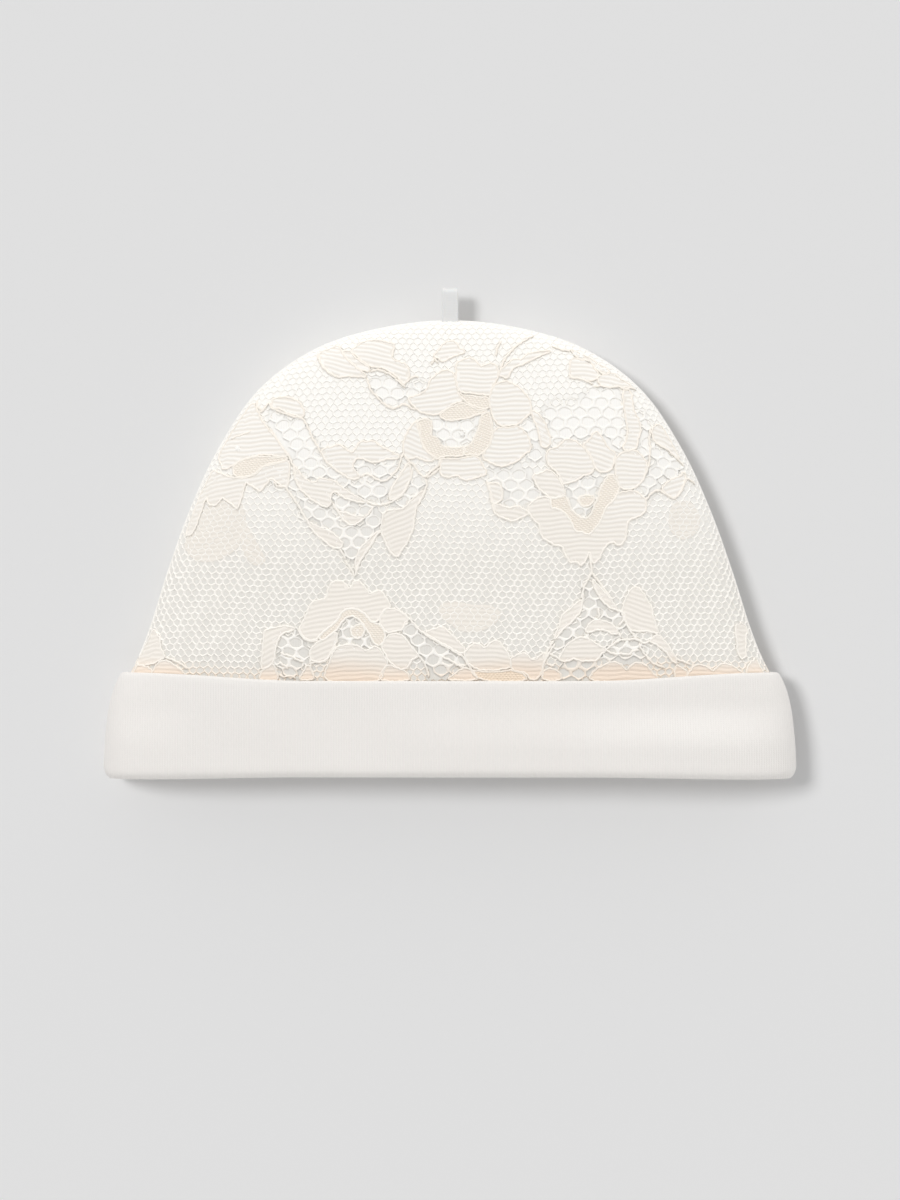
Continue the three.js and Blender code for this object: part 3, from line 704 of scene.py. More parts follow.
# Closed shapes worked in the denser twill
TWILL = (
    ((458, 396), (464, 398), (472, 399), (480, 400), (488, 401), (489, 410), (481, 411), (472, 408),
     (465, 404)),
    ((440, 418), (447, 412), (455, 408), (462, 406), (469, 408), (476, 412), (487, 413), (482, 416),
     (474, 418), (466, 421), (457, 422), (449, 423), (443, 421)),
    ((418, 424), (431, 423), (432, 438), (437, 440), (441, 447), (450, 450), (464, 450), (464, 457),
     (452, 458), (441, 459), (437, 461), (430, 456), (424, 450), (421, 440)),
    ((464, 450), (471, 446), (475, 438), (479, 429), (481, 419), (488, 415), (491, 424), (492, 435),
     (490, 445), (484, 453), (478, 458), (474, 456), (464, 457)),
    ((550, 500), (556, 500), (563, 497), (567, 503), (570, 511), (575, 516), (582, 519), (587, 518),
     (591, 510), (595, 501), (599, 489), (604, 480), (610, 476), (613, 480), (617, 490), (615, 496),
     (610, 503), (603, 510), (600, 519), (595, 527), (587, 535), (580, 533), (574, 532), (570, 524),
     (564, 515), (556, 510), (550, 509)),
    ((321, 637), (328, 629), (335, 624), (340, 618), (344, 612), (349, 609), (355, 609), (361, 611),
     (366, 614), (371, 621), (379, 624), (385, 630), (386, 637), (382, 644), (378, 645), (373, 639),
     (368, 630), (363, 623), (358, 618), (353, 616), (348, 618), (343, 622), (339, 629), (332, 634),
     (325, 640)),
    ((352, 630), (358, 625), (363, 624), (366, 631), (362, 637), (355, 637)),
    ((577, 500), (584, 497), (592, 498), (590, 505), (583, 508), (578, 505)),
    ((471, 670), (480, 670), (492, 671), (502, 670), (511, 669), (517, 671), (523, 674), (526, 678),
     (480, 678)),
    ((234, 467), (245, 461), (260, 458), (275, 459), (290, 460), (287, 464), (275, 465), (265, 468),
     (258, 474), (246, 478), (236, 476)),
)
# Grounds of large open cells
OPEN_GROUND = (
    ((440, 424), (456, 424), (474, 422), (480, 419), (478, 430), (474, 438), (470, 446), (463, 449),
     (450, 449), (441, 446), (437, 439), (433, 437), (432, 424)),
    ((541, 411), (548, 405), (563, 405), (575, 403), (578, 397), (588, 391), (600, 389), (612, 390),
     (622, 392), (623, 405), (625, 425), (624, 440), (620, 449), (614, 455), (608, 451), (602, 443),
     (598, 436), (594, 433), (588, 440), (581, 447), (574, 443), (566, 440), (560, 444), (552, 447),
     (550, 440), (547, 430), (543, 421)),
    ((530, 417), (534, 426), (538, 438), (540, 450), (546, 455), (544, 462), (536, 466), (528, 462),
     (524, 458), (531, 452), (529, 441), (524, 430)),
    ((563, 488), (570, 483), (580, 480), (590, 475), (597, 476), (601, 480), (598, 489), (594, 500),
     (589, 512), (584, 517), (576, 514), (570, 507), (566, 497)),
    ((488, 470), (497, 471), (505, 470), (513, 467), (518, 463), (524, 470), (531, 474), (533, 482),
     (536, 490), (543, 497), (536, 500), (528, 505), (520, 509), (510, 508), (502, 505), (502, 490),
     (489, 485)),
    ((645, 466), (650, 462), (652, 475), (660, 484), (655, 490), (650, 495), (645, 502), (640, 497),
     (637, 490), (641, 482), (645, 475)),
    ((636, 412), (645, 420), (650, 428), (650, 450), (648, 462), (640, 456), (635, 450), (640, 438),
     (641, 428)),
    ((653, 444), (661, 448), (669, 452), (680, 461), (684, 470), (676, 476), (666, 480), (658, 480),
     (652, 470), (650, 456)),
    ((586, 582), (590, 582), (594, 592), (600, 602), (608, 609), (618, 612), (622, 618), (626, 628),
     (622, 634), (616, 630), (611, 625), (603, 621), (595, 619), (588, 622), (583, 630), (575, 637),
     (566, 643), (558, 646), (553, 644), (560, 632), (568, 624), (576, 616), (581, 606), (580, 597)),
    ((560, 661), (572, 659), (588, 661), (596, 661), (590, 672), (586, 678), (552, 678), (556, 668)),
    ((607, 648), (612, 643), (618, 640), (633, 639), (638, 645), (643, 655), (640, 661), (630, 661),
     (620, 661), (610, 661), (598, 664), (596, 660), (601, 652)),
    ((402, 630), (406, 623), (410, 621), (418, 630), (426, 636), (438, 643), (450, 650), (462, 656),
     (468, 664), (458, 668), (452, 676), (430, 678), (426, 664), (416, 650), (408, 641), (404, 636)),
    ((343, 623), (349, 618), (354, 617), (359, 620), (364, 626), (369, 633), (373, 640), (375, 645),
     (368, 648), (362, 645), (355, 643), (346, 643), (340, 644), (339, 634)),
    ((283, 637), (290, 632), (300, 632), (306, 638), (313, 642), (312, 650), (311, 660), (305, 668),
     (300, 678), (282, 678), (280, 664), (279, 652), (281, 643)),
    ((357, 461), (364, 461), (372, 464), (380, 464), (388, 461), (396, 461), (401, 462), (400, 468),
     (394, 476), (387, 482), (380, 482), (372, 477), (366, 476), (362, 479), (358, 474), (355, 468)),
    ((335, 492), (342, 497), (350, 501), (358, 503), (366, 506), (373, 508), (371, 514), (364, 519),
     (356, 516), (346, 513), (340, 511), (335, 505), (332, 498)),
    ((288, 480), (297, 478), (299, 486), (303, 492), (310, 499), (318, 504), (326, 508), (333, 509),
     (337, 513), (342, 520), (348, 526), (354, 528), (362, 524), (369, 519), (373, 511), (377, 508),
     (382, 513), (384, 520), (382, 530), (371, 540), (364, 546), (358, 554), (356, 573), (351, 566),
     (346, 556), (345, 546), (340, 538), (334, 533), (326, 529), (318, 526), (311, 521), (305, 513),
     (300, 505), (295, 497), (290, 489)),
    ((412, 477), (418, 480), (425, 484), (424, 491), (417, 496), (412, 500), (407, 505), (400, 508),
     (390, 508), (384, 507), (391, 504), (398, 501), (403, 497), (407, 491), (410, 484)),
    ((272, 410), (280, 414), (290, 418), (300, 421), (308, 427), (313, 437), (318, 446), (322, 455),
     (327, 462), (333, 469), (340, 476), (334, 481), (326, 480), (320, 478), (316, 482), (308, 480),
     (302, 473), (296, 464), (291, 456), (285, 448), (279, 440), (272, 430), (270, 422)),
    ((338, 474), (345, 478), (352, 482), (359, 483), (364, 480), (370, 479), (376, 483), (384, 485),
     (392, 482), (398, 476), (396, 485), (391, 492), (388, 500), (380, 503), (372, 503), (365, 500),
     (357, 495), (350, 491), (345, 486), (339, 481), (334, 477)),
    ((276, 466), (284, 466), (292, 469), (297, 477), (298, 484), (293, 486), (288, 487), (283, 489),
     (277, 485), (274, 478), (275, 470)),
    ((373, 378), (382, 376), (390, 379), (398, 385), (404, 392), (412, 389), (420, 384), (426, 388),
     (421, 397), (412, 400), (408, 405), (400, 407), (392, 409), (384, 404), (377, 397), (371, 389)),
)
# Cords that run on their own, beside those that edge each shape
LOOSE_CORDS = (
    ((403, 455), (401, 463), (398, 471), (393, 477), (388, 481), (382, 483), (376, 480), (371, 477),
     (366, 476), (362, 479)),
    ((404, 456), (408, 462), (414, 467), (419, 474), (425, 479), (431, 473), (438, 468), (440, 460)),
    ((427, 480), (434, 475), (440, 470)),
    ((409, 464), (404, 472), (399, 480), (394, 487), (391, 494), (389, 500)),
    ((409, 483), (406, 491), (402, 497), (396, 501), (390, 504), (384, 506), (378, 506), (372, 505),
     (367, 502)),
    ((425, 480), (427, 486), (425, 493), (421, 501), (417, 508)),
    ((499, 377), (502, 366), (508, 356), (514, 349), (520, 344), (527, 339), (534, 333)),
    ((496, 358), (497, 350), (501, 342)),
    ((432, 367), (434, 360), (438, 366)),
    ((368, 380), (369, 386), (372, 393), (377, 399), (382, 404), (388, 409), (393, 411), (399, 409),
     (405, 407), (411, 410), (416, 413)),
    ((371, 374), (377, 372), (383, 373), (389, 376), (394, 379), (399, 384), (403, 388), (406, 390)),
    ((405, 387), (409, 382), (414, 379), (419, 380)),
    ((486, 482), (489, 490), (491, 498), (493, 506), (496, 514)),
    ((592, 388), (600, 387), (610, 388), (618, 387), (626, 389), (632, 387), (638, 388)),
    ((568, 379), (577, 380), (585, 382), (592, 386)),
    ((643, 502), (647, 497), (652, 493), (657, 491), (662, 494), (668, 497), (673, 499), (678, 495),
     (682, 489), (685, 483), (688, 479), (694, 480), (698, 484)),
    ((650, 428), (649, 437), (649, 450), (648, 462), (646, 470), (643, 478)),
    ((652, 440), (658, 445), (666, 449), (673, 454), (681, 461), (686, 465)),
    ((588, 553), (589, 566), (590, 573), (587, 578), (583, 586), (581, 592), (579, 599)),
    ((581, 592), (581, 600), (580, 607)),
    ((590, 573), (594, 578), (598, 584), (602, 589), (607, 596), (611, 601)),
    ((552, 640), (549, 645), (546, 651), (544, 658), (542, 666), (540, 676)),
    ((553, 643), (549, 650), (546, 657)),
    ((611, 609), (617, 611), (622, 614), (620, 622), (616, 626)),
    ((596, 608), (597, 614), (596, 619)),
    ((602, 651), (607, 647), (612, 643), (618, 640), (625, 639), (633, 639), (638, 641), (643, 643),
     (647, 640)),
    ((604, 650), (611, 653), (618, 653), (626, 654), (631, 650), (637, 650)),
    ((636, 643), (640, 650), (644, 656), (649, 661), (656, 665), (663, 667)),
    ((616, 632), (620, 638)),
    ((626, 628), (631, 635), (637, 641)),
    ((400, 611), (406, 615), (412, 621), (418, 628), (424, 633), (430, 637), (437, 641), (444, 645),
     (451, 649), (458, 653), (463, 656), (467, 662), (471, 668), (475, 673), (478, 678)),
    ((404, 636), (408, 641), (413, 647), (418, 653), (422, 658), (426, 664), (428, 670), (429, 677)),
    ((402, 632), (404, 627), (409, 622)),
    ((441, 655), (447, 658), (453, 661), (458, 664), (463, 667)),
    ((548, 653), (554, 656), (558, 658)),
    ((546, 663), (553, 665)),
    ((282, 652), (288, 654), (294, 656), (300, 659), (306, 661)),
    ((281, 661), (286, 664), (290, 668)),
    ((281, 674), (287, 676), (292, 675), (298, 678)),
    ((300, 630), (304, 636), (309, 640), (315, 641), (320, 639)),
    ((312, 650), (312, 660), (313, 668), (315, 676)),
    ((310, 663), (316, 661), (322, 661), (328, 659), (333, 651), (337, 646)),
    ((346, 560), (349, 565), (353, 570), (356, 577), (358, 568), (362, 560), (367, 552), (373, 543),
     (378, 535), (381, 531)),
    ((298, 480), (299, 485), (302, 490)),
    ((334, 504), (337, 509), (341, 515)),
    ((366, 518), (371, 513), (374, 507)),
    ((288, 488), (292, 495), (297, 501), (301, 508), (305, 515), (309, 522), (313, 528)),
    ((341, 549), (344, 554), (347, 560)),
    ((258, 413), (263, 411), (267, 406), (270, 403), (272, 409), (279, 412), (286, 415), (294, 418),
     (303, 420), (308, 426), (312, 435), (316, 443), (320, 450), (323, 455)),
    ((271, 430), (276, 437), (281, 445), (286, 452), (291, 458), (294, 464), (297, 471), (298, 479)),
    ((276, 484), (281, 488), (287, 488), (288, 489)),
    ((230, 438), (238, 436), (246, 434), (252, 431)),
    ((255, 400), (257, 407), (262, 412)),
    ((317, 352), (319, 359), (322, 366), (327, 372), (333, 377)),
    ((167, 657), (174, 659), (181, 662), (190, 668)),
    ((673, 658), (680, 661), (688, 664)),
    ((552, 346), (561, 349), (570, 350)),
)
# Knots of white thread: one in the flower's heart, the rest near the crown
KNOTS = ((462, 436), (238, 449), (575, 353), (581, 355), (598, 366), (605, 369))

# Worked patches: the size and height of their ribs and of the twill's dashes
RIB = 1.1
RIB_STEP = 0.85
RIB_HEIGHT = 0.09
TWILL_ROW = 0.5
TWILL_DASH = 0.9
TWILL_HEIGHT = 0.16
TWILL_LOW = 0.02
PATCH_EDGE = 0.04
# No other place of a patch is closer to its rim than this
PATCH_CLEAR = 0.3
# How deep between its neighbours a patch's rim is taken to lie, and a patch without an edging at the least:
# both darken them with painted shade
RIM_SHADE = 0.35
UNEDGED_SHADE = 0.6
# The panel's net ends this far in from the seam
SEAM_CLEAR = 0.7
OUTLINE_STEP = 0.9
GROUND_STEP = 2.0
# The two nets: their cells' width and height of row, their bars, and how far they run on under a patch
NET_CELL = (1.9, 1.45)
NET_BAR = 0.31
NET_THICK = 0.22
NET_COVERED = 1.5
# Half the length of a cell's upright sides, as a share of its height
CELL_PILLAR = 0.27
OPEN_CELL = (3.7, 2.4)
OPEN_BAR = 0.9
OPEN_THICK = 0.27
OPEN_COVERED = 1.9
# The shoulder of a rounded bar: its share of the way to the hole, of the bar's height and of the depth,
# which sets its painted shade
SHOULDER = (0.55, 0.85, 0.3)
CORD_STEP = 0.6
CORD_WIDTH = 0.5
CORD_HEIGHT = 0.3
# A knot's strands reach this many chart squares either way
KNOT_REACH = 3.2
KNOT_WIDTH = 0.42
KNOT_ANGLES = (0.3, 1.3, 2.4)
LOOSE_WIDTH = 1.1 * CORD_WIDTH


def on_chart(squares, side):
    """Chart squares as flat places. The back panel is the same lace turned over."""
    squares = np.array(squares, float)
    x = (squares[:, 0] - CHART_MIDDLE) * CHART_SQUARE * side
    y = (CHART_MOUTH - squares[:, 1]) * CHART_SQUARE
    return np.stack([x, y], -1)


def resampled(line, step):
    run = np.concatenate([[0], np.cumsum(np.linalg.norm(np.diff(line, axis=0), axis=1))])
    count = max(3, int(round(run[-1] / step)))
    even = np.linspace(0, run[-1], count + 1)
    return np.stack([np.interp(even, run, line[:, i]) for i in range(line.shape[1])], -1)


def closed_outline(corners, step):
    loop = centripetal([*corners[-3:], *corners, *corners[:3]], 8)
    loop = loop[3 * 8 : (3 + len(corners)) * 8 + 1]
    return resampled(loop, step)[:-1]


def inside(places, outline):
    """Which places lie inside a closed outline."""
    x, y = places[:, 0:1], places[:, 1:2]
    x1, y1 = outline[:, 0], outline[:, 1]
    x2, y2 = np.roll(x1, -1), np.roll(y1, -1)
    crosses = (y1 > y) != (y2 > y)
    at = x1 + (y - y1) * (x2 - x1) / np.where(np.abs(y2 - y1) < 1e-9, 1e-9, y2 - y1)
    return (crosses & (x < at)).sum(1) % 2 == 1


def edge_distance(places, outline):
    gaps = places[:, None, :] - outline[None, :, :]
    return np.sqrt((gaps**2).sum(-1)).min(1)


def rib_sway(x, y):
    """The ribs don't lie quite level: they rise and fall as the threads were drawn."""
    return 0.18 * np.sin(x / 2.6 + y / 7) + 0.09 * np.sin(x / 1.1 - y / 2.1)


def solid_patch(outline, kind):
    """A worked patch's flat places, their heights and its triangles. Its ribs lean towards its long way."""
    centre = outline.mean(0)
    spread = np.cov((outline - centre).T)
    way = 0.5 * math.atan2(2 * spread[0, 1], spread[0, 0] - spread[1, 1])
    small, large = np.linalg.eigvalsh(spread)
    slim = smooth(1 - math.sqrt(small / large), 0.1, 0.45)
    lean = 0.4 * way * slim * (1 - smooth(abs(way), 1.3, 1.57))
    turned = np.array([[math.cos(lean), math.sin(lean)], [-math.sin(lean), math.cos(lean)]])
    level = (outline - centre) @ turned.T
    low, high = level.min(0), level.max(0)
    if kind == "ribbed":
        row, step = RIB / 2, RIB_STEP
    else:
        row, step = TWILL_ROW / 2, TWILL_DASH / 2
    rows = np.arange(math.floor(low[1] / row) - 2, math.ceil(high[1] / row) + 3)
    columns = np.arange(math.floor(low[0] / step) - 1, math.ceil(high[0] / step) + 2)
    grid_row, grid_column = np.meshgrid(rows, columns, indexing="ij")
    x = (grid_column + 0.5 * (grid_row % 2)) * step
    y = grid_row * row
    if kind == "ribbed":
        y = y + rib_sway(x + centre[0], y + centre[1])
    places = np.stack([x.ravel(), y.ravel()], -1) @ turned + centre
    if kind == "ribbed":
        heights = np.where(grid_row.ravel() % 2 == 0, RIB_HEIGHT, 0.0)
    else:
        high_spot = (grid_row.ravel() % 2 == 0) & ((grid_column.ravel() + grid_row.ravel() // 2) % 2 == 0)
        heights = np.where(high_spot, TWILL_HEIGHT, TWILL_LOW)
    keep = inside(places, outline)
    keep[keep] = edge_distance(places[keep], outline) > PATCH_CLEAR
    places = np.vstack([outline, places[keep]])
    heights = np.concatenate([np.full(len(outline), PATCH_EDGE), heights[keep]])
    count = len(outline)
    verts, _, faces, origin, _, _ = geometry.delaunay_2d_cdt(
        [Vector(place) for place in places], [], [list(range(count))], 1, 1e-5
    )
    found = np.array([heights[source[0]] if source else PATCH_EDGE for source in origin])
    # Painted shade: the troughs between the ribs and the patch's rim take the darker valley colour
    deep = 1 - found / heights.max()
    deep[[i for i, source in enumerate(origin) if source and source[0] < count]] = RIM_SHADE
    flat = np.array([[vert.x, vert.y] for vert in verts])
    return flat, found, deep, np.array([list(face) for face in faces])


def shell(flat, tops, under, faces, side):
    """A closed patch: its top and underside, wrapped over the cap, joined along their rim."""
    count = len(flat)
    top = wrapped(flat, side, tops)
    bottom = wrapped(flat, side, np.full(count, under))
    edges = {}
    for face in faces:
        for a, b in zip(face, np.roll(face, -1)):
            edges[(a, b)] = edges.get((a, b), 0) + 1
    rim = [(a, b) for (a, b) in edges if (b, a) not in edges]
    all_faces = [tuple(face) for face in faces]
    all_faces += [tuple(count + face[::-1]) for face in faces]
    all_faces += [(b, a, count + a, count + b) for a, b in rim]
    if side == BACK:
        all_faces = [face[::-1] for face in all_faces]
    return np.vstack([top, bottom]), all_faces


class Heap:
    """Gathers meshes into one piece."""

    def __init__(self):
        self.points = []
        self.faces = []
        self.valley = []
        self.count = 0

    def add(self, points, faces, valley=0.0):
        self.points.append(np.asarray(points))
        self.valley.append(np.broadcast_to(valley, len(points)))
        self.faces += [tuple(np.asarray(face) + self.count) for face in faces]
        self.count += len(points)

    def piece(self, name, material, smooth_faces=True):
        points = np.vstack(self.points)
        valley = np.concatenate(self.valley)
        return add_mesh(name, points, self.faces, material, smooth_faces, valley=valley)


def tube(line, side, level, width, height, closed):
    """A cord laid on the lace along flat places: it zigzags a little where it is whipped down, and its ends
    are drawn in."""
    count = len(line)
    run = np.arange(count) * CORD_STEP
    ahead = np.gradient(line, axis=0)
    ahead /= np.maximum(1e-9, np.linalg.norm(ahead, axis=1, keepdims=True))
    sway = 0.1 * np.sin(run * 4.1) + 0.06 * np.sin(run * 1.7 + line[0, 0])
    line = line + np.stack([-ahead[:, 1], ahead[:, 0]], -1) * sway[:, None]
    centre = wrapped(line, side, np.full(count, level))
    above = wrapped(line, side, np.full(count, level + 0.2))
    normal = above - centre
    normal /= np.maximum(1e-9, np.linalg.norm(normal, axis=1, keepdims=True))
    if closed:
        along = np.roll(centre, -1, 0) - np.roll(centre, 1, 0)
    else:
        along = np.gradient(centre, axis=0)
    along /= np.maximum(1e-9, np.linalg.norm(along, axis=1, keepdims=True))
    across = np.cross(along, normal)
    across /= np.maximum(1e-9, np.linalg.norm(across, axis=1, keepdims=True))
    size = 1 + 0.14 * np.sin(np.arange(count) * 2.1)
    if not closed:
        size[[0, -1]] = 0.45
    rings = []
    for corner in range(6):
        angle = corner * math.pi / 3
        reach = across * (math.cos(angle) * width / 2) + normal * (math.sin(angle) * height / 2)
        rings.append(centre + reach * size[:, None])
    points = np.stack(rings, 1).reshape(-1, 3)
    faces = []
    for i in range(count if closed else count - 1):
        after = (i + 1) % count
        for corner in range(6):
            turn = (corner + 1) % 6
            faces.append((i * 6 + corner, after * 6 + corner, after * 6 + turn, i * 6 + turn))
    if not closed:
        faces.append(tuple(range(6)))
        faces.append(tuple((count - 1) * 6 + corner for corner in range(5, -1, -1)))
    return points, faces


def drift(places):
    """Knitted net is never quite even: its rows wander and its cells stretch."""
    x, y = places[:, 0], places[:, 1]
    dx = 0.35 * np.sin(y / 6.1 + x / 31) + 0.12 * np.sin(x * 1.9 + y * 2.3)
    dy = 0.5 * np.sin(x / 9.7 + y / 23) + 0.1 * np.sin(x * 2.7 - y * 1.7)
    return places + np.stack([dx, dy], -1)


def net(cell, bar, thick, rounded, wanted, side, heap):
    """Cells over the places where wanted says so: six-sided, or rounded to ovals with a rounded bar. Each
    bar is thickest along its middle, and its edges lie on the lining."""
    wide, high = cell
    pillar = CELL_PILLAR * high
    peak = high - pillar
    rows = range(int(CROWN_START / high) - 1, int((CAP_LENGTH + 8) / high) + 1)
    columns = range(-int(CAP_WIDTH / 2 / wide) - 2, int(CAP_WIDTH / 2 / wide) + 3)
    centres = np.array(
        [((column + (row % 2) / 2) * wide, row * high) for row in rows for column in columns]
    )
    corner = np.array(
        [(0.5, -pillar), (0.5, pillar), (0, peak), (-0.5, pillar), (-0.5, -pillar), (0, -peak)]
    )
    corner[:, 0] *= wide
    hole = corner * (1 - bar / np.linalg.norm(corner, axis=1, keepdims=True))
    if rounded:
        between = (corner + np.roll(corner, -1, 0)) / 2
        corner = np.stack([corner, between], 1).reshape(-1, 2)
        turn = np.arctan2(corner[:, 1] / peak, corner[:, 0] / (wide / 2))
        reach = np.array([(wide - bar) / 2, 0.9 * peak - bar / 2])
        hole = np.stack([np.cos(turn), np.sin(turn)], -1) * reach
    sides = len(corner)
    centres = centres[wanted(drift(centres))]
    corners = (centres[:, None, :] + corner[None]).reshape(-1, 2)
    _, first, index = np.unique(
        np.round(corners * 50).astype(int), axis=0, return_index=True, return_inverse=True
    )
    index = index.reshape(-1, sides)
    border = drift(corners[first])
    holes = drift((centres[:, None, :] + hole[None]).reshape(-1, 2))
    count = len(border)
    ring = len(holes)
    # Places, their level and how deep they lie between the bars, which sets their painted shade: the holes'
    # edges take the darker valley colour
    layers = [(border, NET_LEVEL + thick, 0.0), (border, NET_LEVEL - 0.1, 0.0), (holes, NET_LEVEL, 1.0)]
    if rounded:
        way, up, deep = SHOULDER
        shoulders = centres[:, None, :] + (corner + way * (hole - corner))[None]
        layers.append((drift(shoulders.reshape(-1, 2)), NET_LEVEL + up * thick, deep))
    points = np.vstack([wrapped(places, side, np.full(len(places), level)) for places, level, _ in layers])
    valley = np.concatenate([np.full(len(places), deep) for places, _, deep in layers])
    faces = []
    for number, around in enumerate(index):
        start = 2 * count + number * sides
        for k in range(sides):
            after = (k + 1) % sides
            a, b = around[k], around[after]
            c, d = start + k, start + after
            if rounded:
                faces.append((a, b, d + ring, c + ring))
                faces.append((c + ring, d + ring, d, c))
            else:
                faces.append((a, b, d, c))
            faces.append((count + b, count + a, c, d))
    if side == BACK:
        faces = [face[::-1] for face in faces]
    heap.add(points, faces, valley)


def build_lace(side, name):
    def outlines_of(shapes, step):
        return [closed_outline(on_chart(shape, side), step) for shape in shapes]

    ribbed = outlines_of(RIBBED, OUTLINE_STEP)
    unedged = outlines_of(UNEDGED, OUTLINE_STEP)
    twill = outlines_of(TWILL, OUTLINE_STEP)
    grounds = outlines_of(OPEN_GROUND, GROUND_STEP)

    def in_panel(places):
        _, depth = cloth_depth(places, side)
        return (depth > SEAM_CLEAR) & (places[:, 1] > CROWN_START + 1)

    def in_any(places, outlines, margin):
        found = np.zeros(len(places), bool)
        for outline in outlines:
            hit = inside(places, outline)
            if margin:
                near = edge_distance(places[hit], outline)
                hit[hit] = near > margin
            found |= hit
        return found

    def fine_ground(places):
        covered = in_any(places, ribbed + twill, NET_COVERED) | in_any(places, grounds, 0.0)
        return in_panel(places) & ~covered

    def open_ground(places):
        covered = in_any(places, ribbed + twill, OPEN_COVERED)
        return in_panel(places) & in_any(places, grounds, 0.0) & ~covered

    ground = Heap()
    net(NET_CELL, NET_BAR, NET_THICK, False, fine_ground, side, ground)
    net(OPEN_CELL, OPEN_BAR, OPEN_THICK, True, open_ground, side, ground)
    cloth = {"ribbed": Heap(), "twill": Heap()}
    # The net runs on over the patches without an edging, which lie lower and take painted shade
    groups = (
        (ribbed, "ribbed", CLOTH_LEVEL, 0.0),
        (unedged, "ribbed", UNEDGED_LEVEL, UNEDGED_SHADE),
        (twill, "twill", CLOTH_LEVEL, 0.0),
    )
    for outlines, kind, level, least_shade in groups:
        for outline in outlines:
            flat, heights, valley, faces = solid_patch(outline, kind)
            points, faces = shell(flat, level + heights, PATCH_UNDERSIDE, faces, side)
            cloth[kind].add(points, faces, np.tile(least_shade + (1 - least_shade) * valley, 2))
    cords = Heap()
    for shape in RIBBED + TWILL:
        line = closed_outline(on_chart(shape, side), CORD_STEP)
        cords.add(*tube(line, side, CORD_LEVEL, CORD_WIDTH, CORD_HEIGHT, True))
    for cord in LOOSE_CORDS:
        line = resampled(centripetal(list(on_chart(cord, side)), 10), CORD_STEP)
        cords.add(*tube(line, side, CORD_LEVEL, LOOSE_WIDTH, CORD_HEIGHT, False))
    # Each knot is a few short strands thrown across each other
    for knot in KNOTS:
        for angle in KNOT_ANGLES:
            reach = KNOT_REACH * np.array([math.cos(angle), math.sin(angle)])
            ends = on_chart([knot - reach, knot + reach], side)
            line = resampled(ends, CORD_STEP / 2)
            ground.add(*tube(line, side, CORD_LEVEL + 0.03 * angle, KNOT_WIDTH, CORD_HEIGHT, False))
    return (
        ground.piece(f"{name}_net", NET, smooth_faces=False),
        cloth["ribbed"].piece(f"{name}_cloth_stitch", CLOTH, smooth_faces=False),
        cloth["twill"].piece(f"{name}_twill", TWILL_CLOTH, smooth_faces=False),
        cords.piece(f"{name}_cords", CORD),
    )


# The cuff


def cuff_profile():
    """A closed path around the band's section: each place's height above the mouth, its distance outside
    the skin and whether it is on the outer leg."""
    gap = FOLD_GAP / 2
    middle = BAND_THICKNESS + gap
    edge = BAND_THICKNESS / 2
    path = []

    def straight(start, end, out, outer, count):
        path.extend((start + (end - start) * i / count, out, outer) for i in range(count))

    def bend(up, out, radius, start, end, count):
        for i in range(count):
            turn = start + (end - start) * i / count
            angle = turn * math.pi
            path.append((up - radius * math.sin(angle), out - radius * math.cos(angle), turn > 0.5))

    straight(BAND_SEAM_HEIGHT, middle, 0, False, 8)
    bend(middle, middle, middle, 0, 1, 10)
    straight(middle, CUFF_HEIGHT - edge, CUFF_OUT, True, 16)
    bend(CUFF_HEIGHT - edge, CUFF_OUT - edge, edge, 1, 2, 6)
    straight(CUFF_HEIGHT - edge, middle, CUFF_IN, True, 8)
    bend(middle, middle, gap, 1, 0, 4)
    straight(middle, BAND_SEAM_HEIGHT, BAND_THICKNESS, False, 6)
    path.append((BAND_SEAM_HEIGHT, BAND_THICKNESS, False))
    return path


# How far the cuff's front swells towards its fold: place across, millimetres of rise
CUFF_SWELL = (
    (-85, 1.7), (-80, 1.9), (-73, 1.1), (-60, 0.15), (-48, 0), (-28, 0), (-12, 0.3), (0, 0.7), (12, 1.0),
    (26, 1.3), (40, 2.3), (50, 3.0), (62, 3.2), (74, 3.0), (85, 2.5),
)
RIM_PRESSED = 0.2


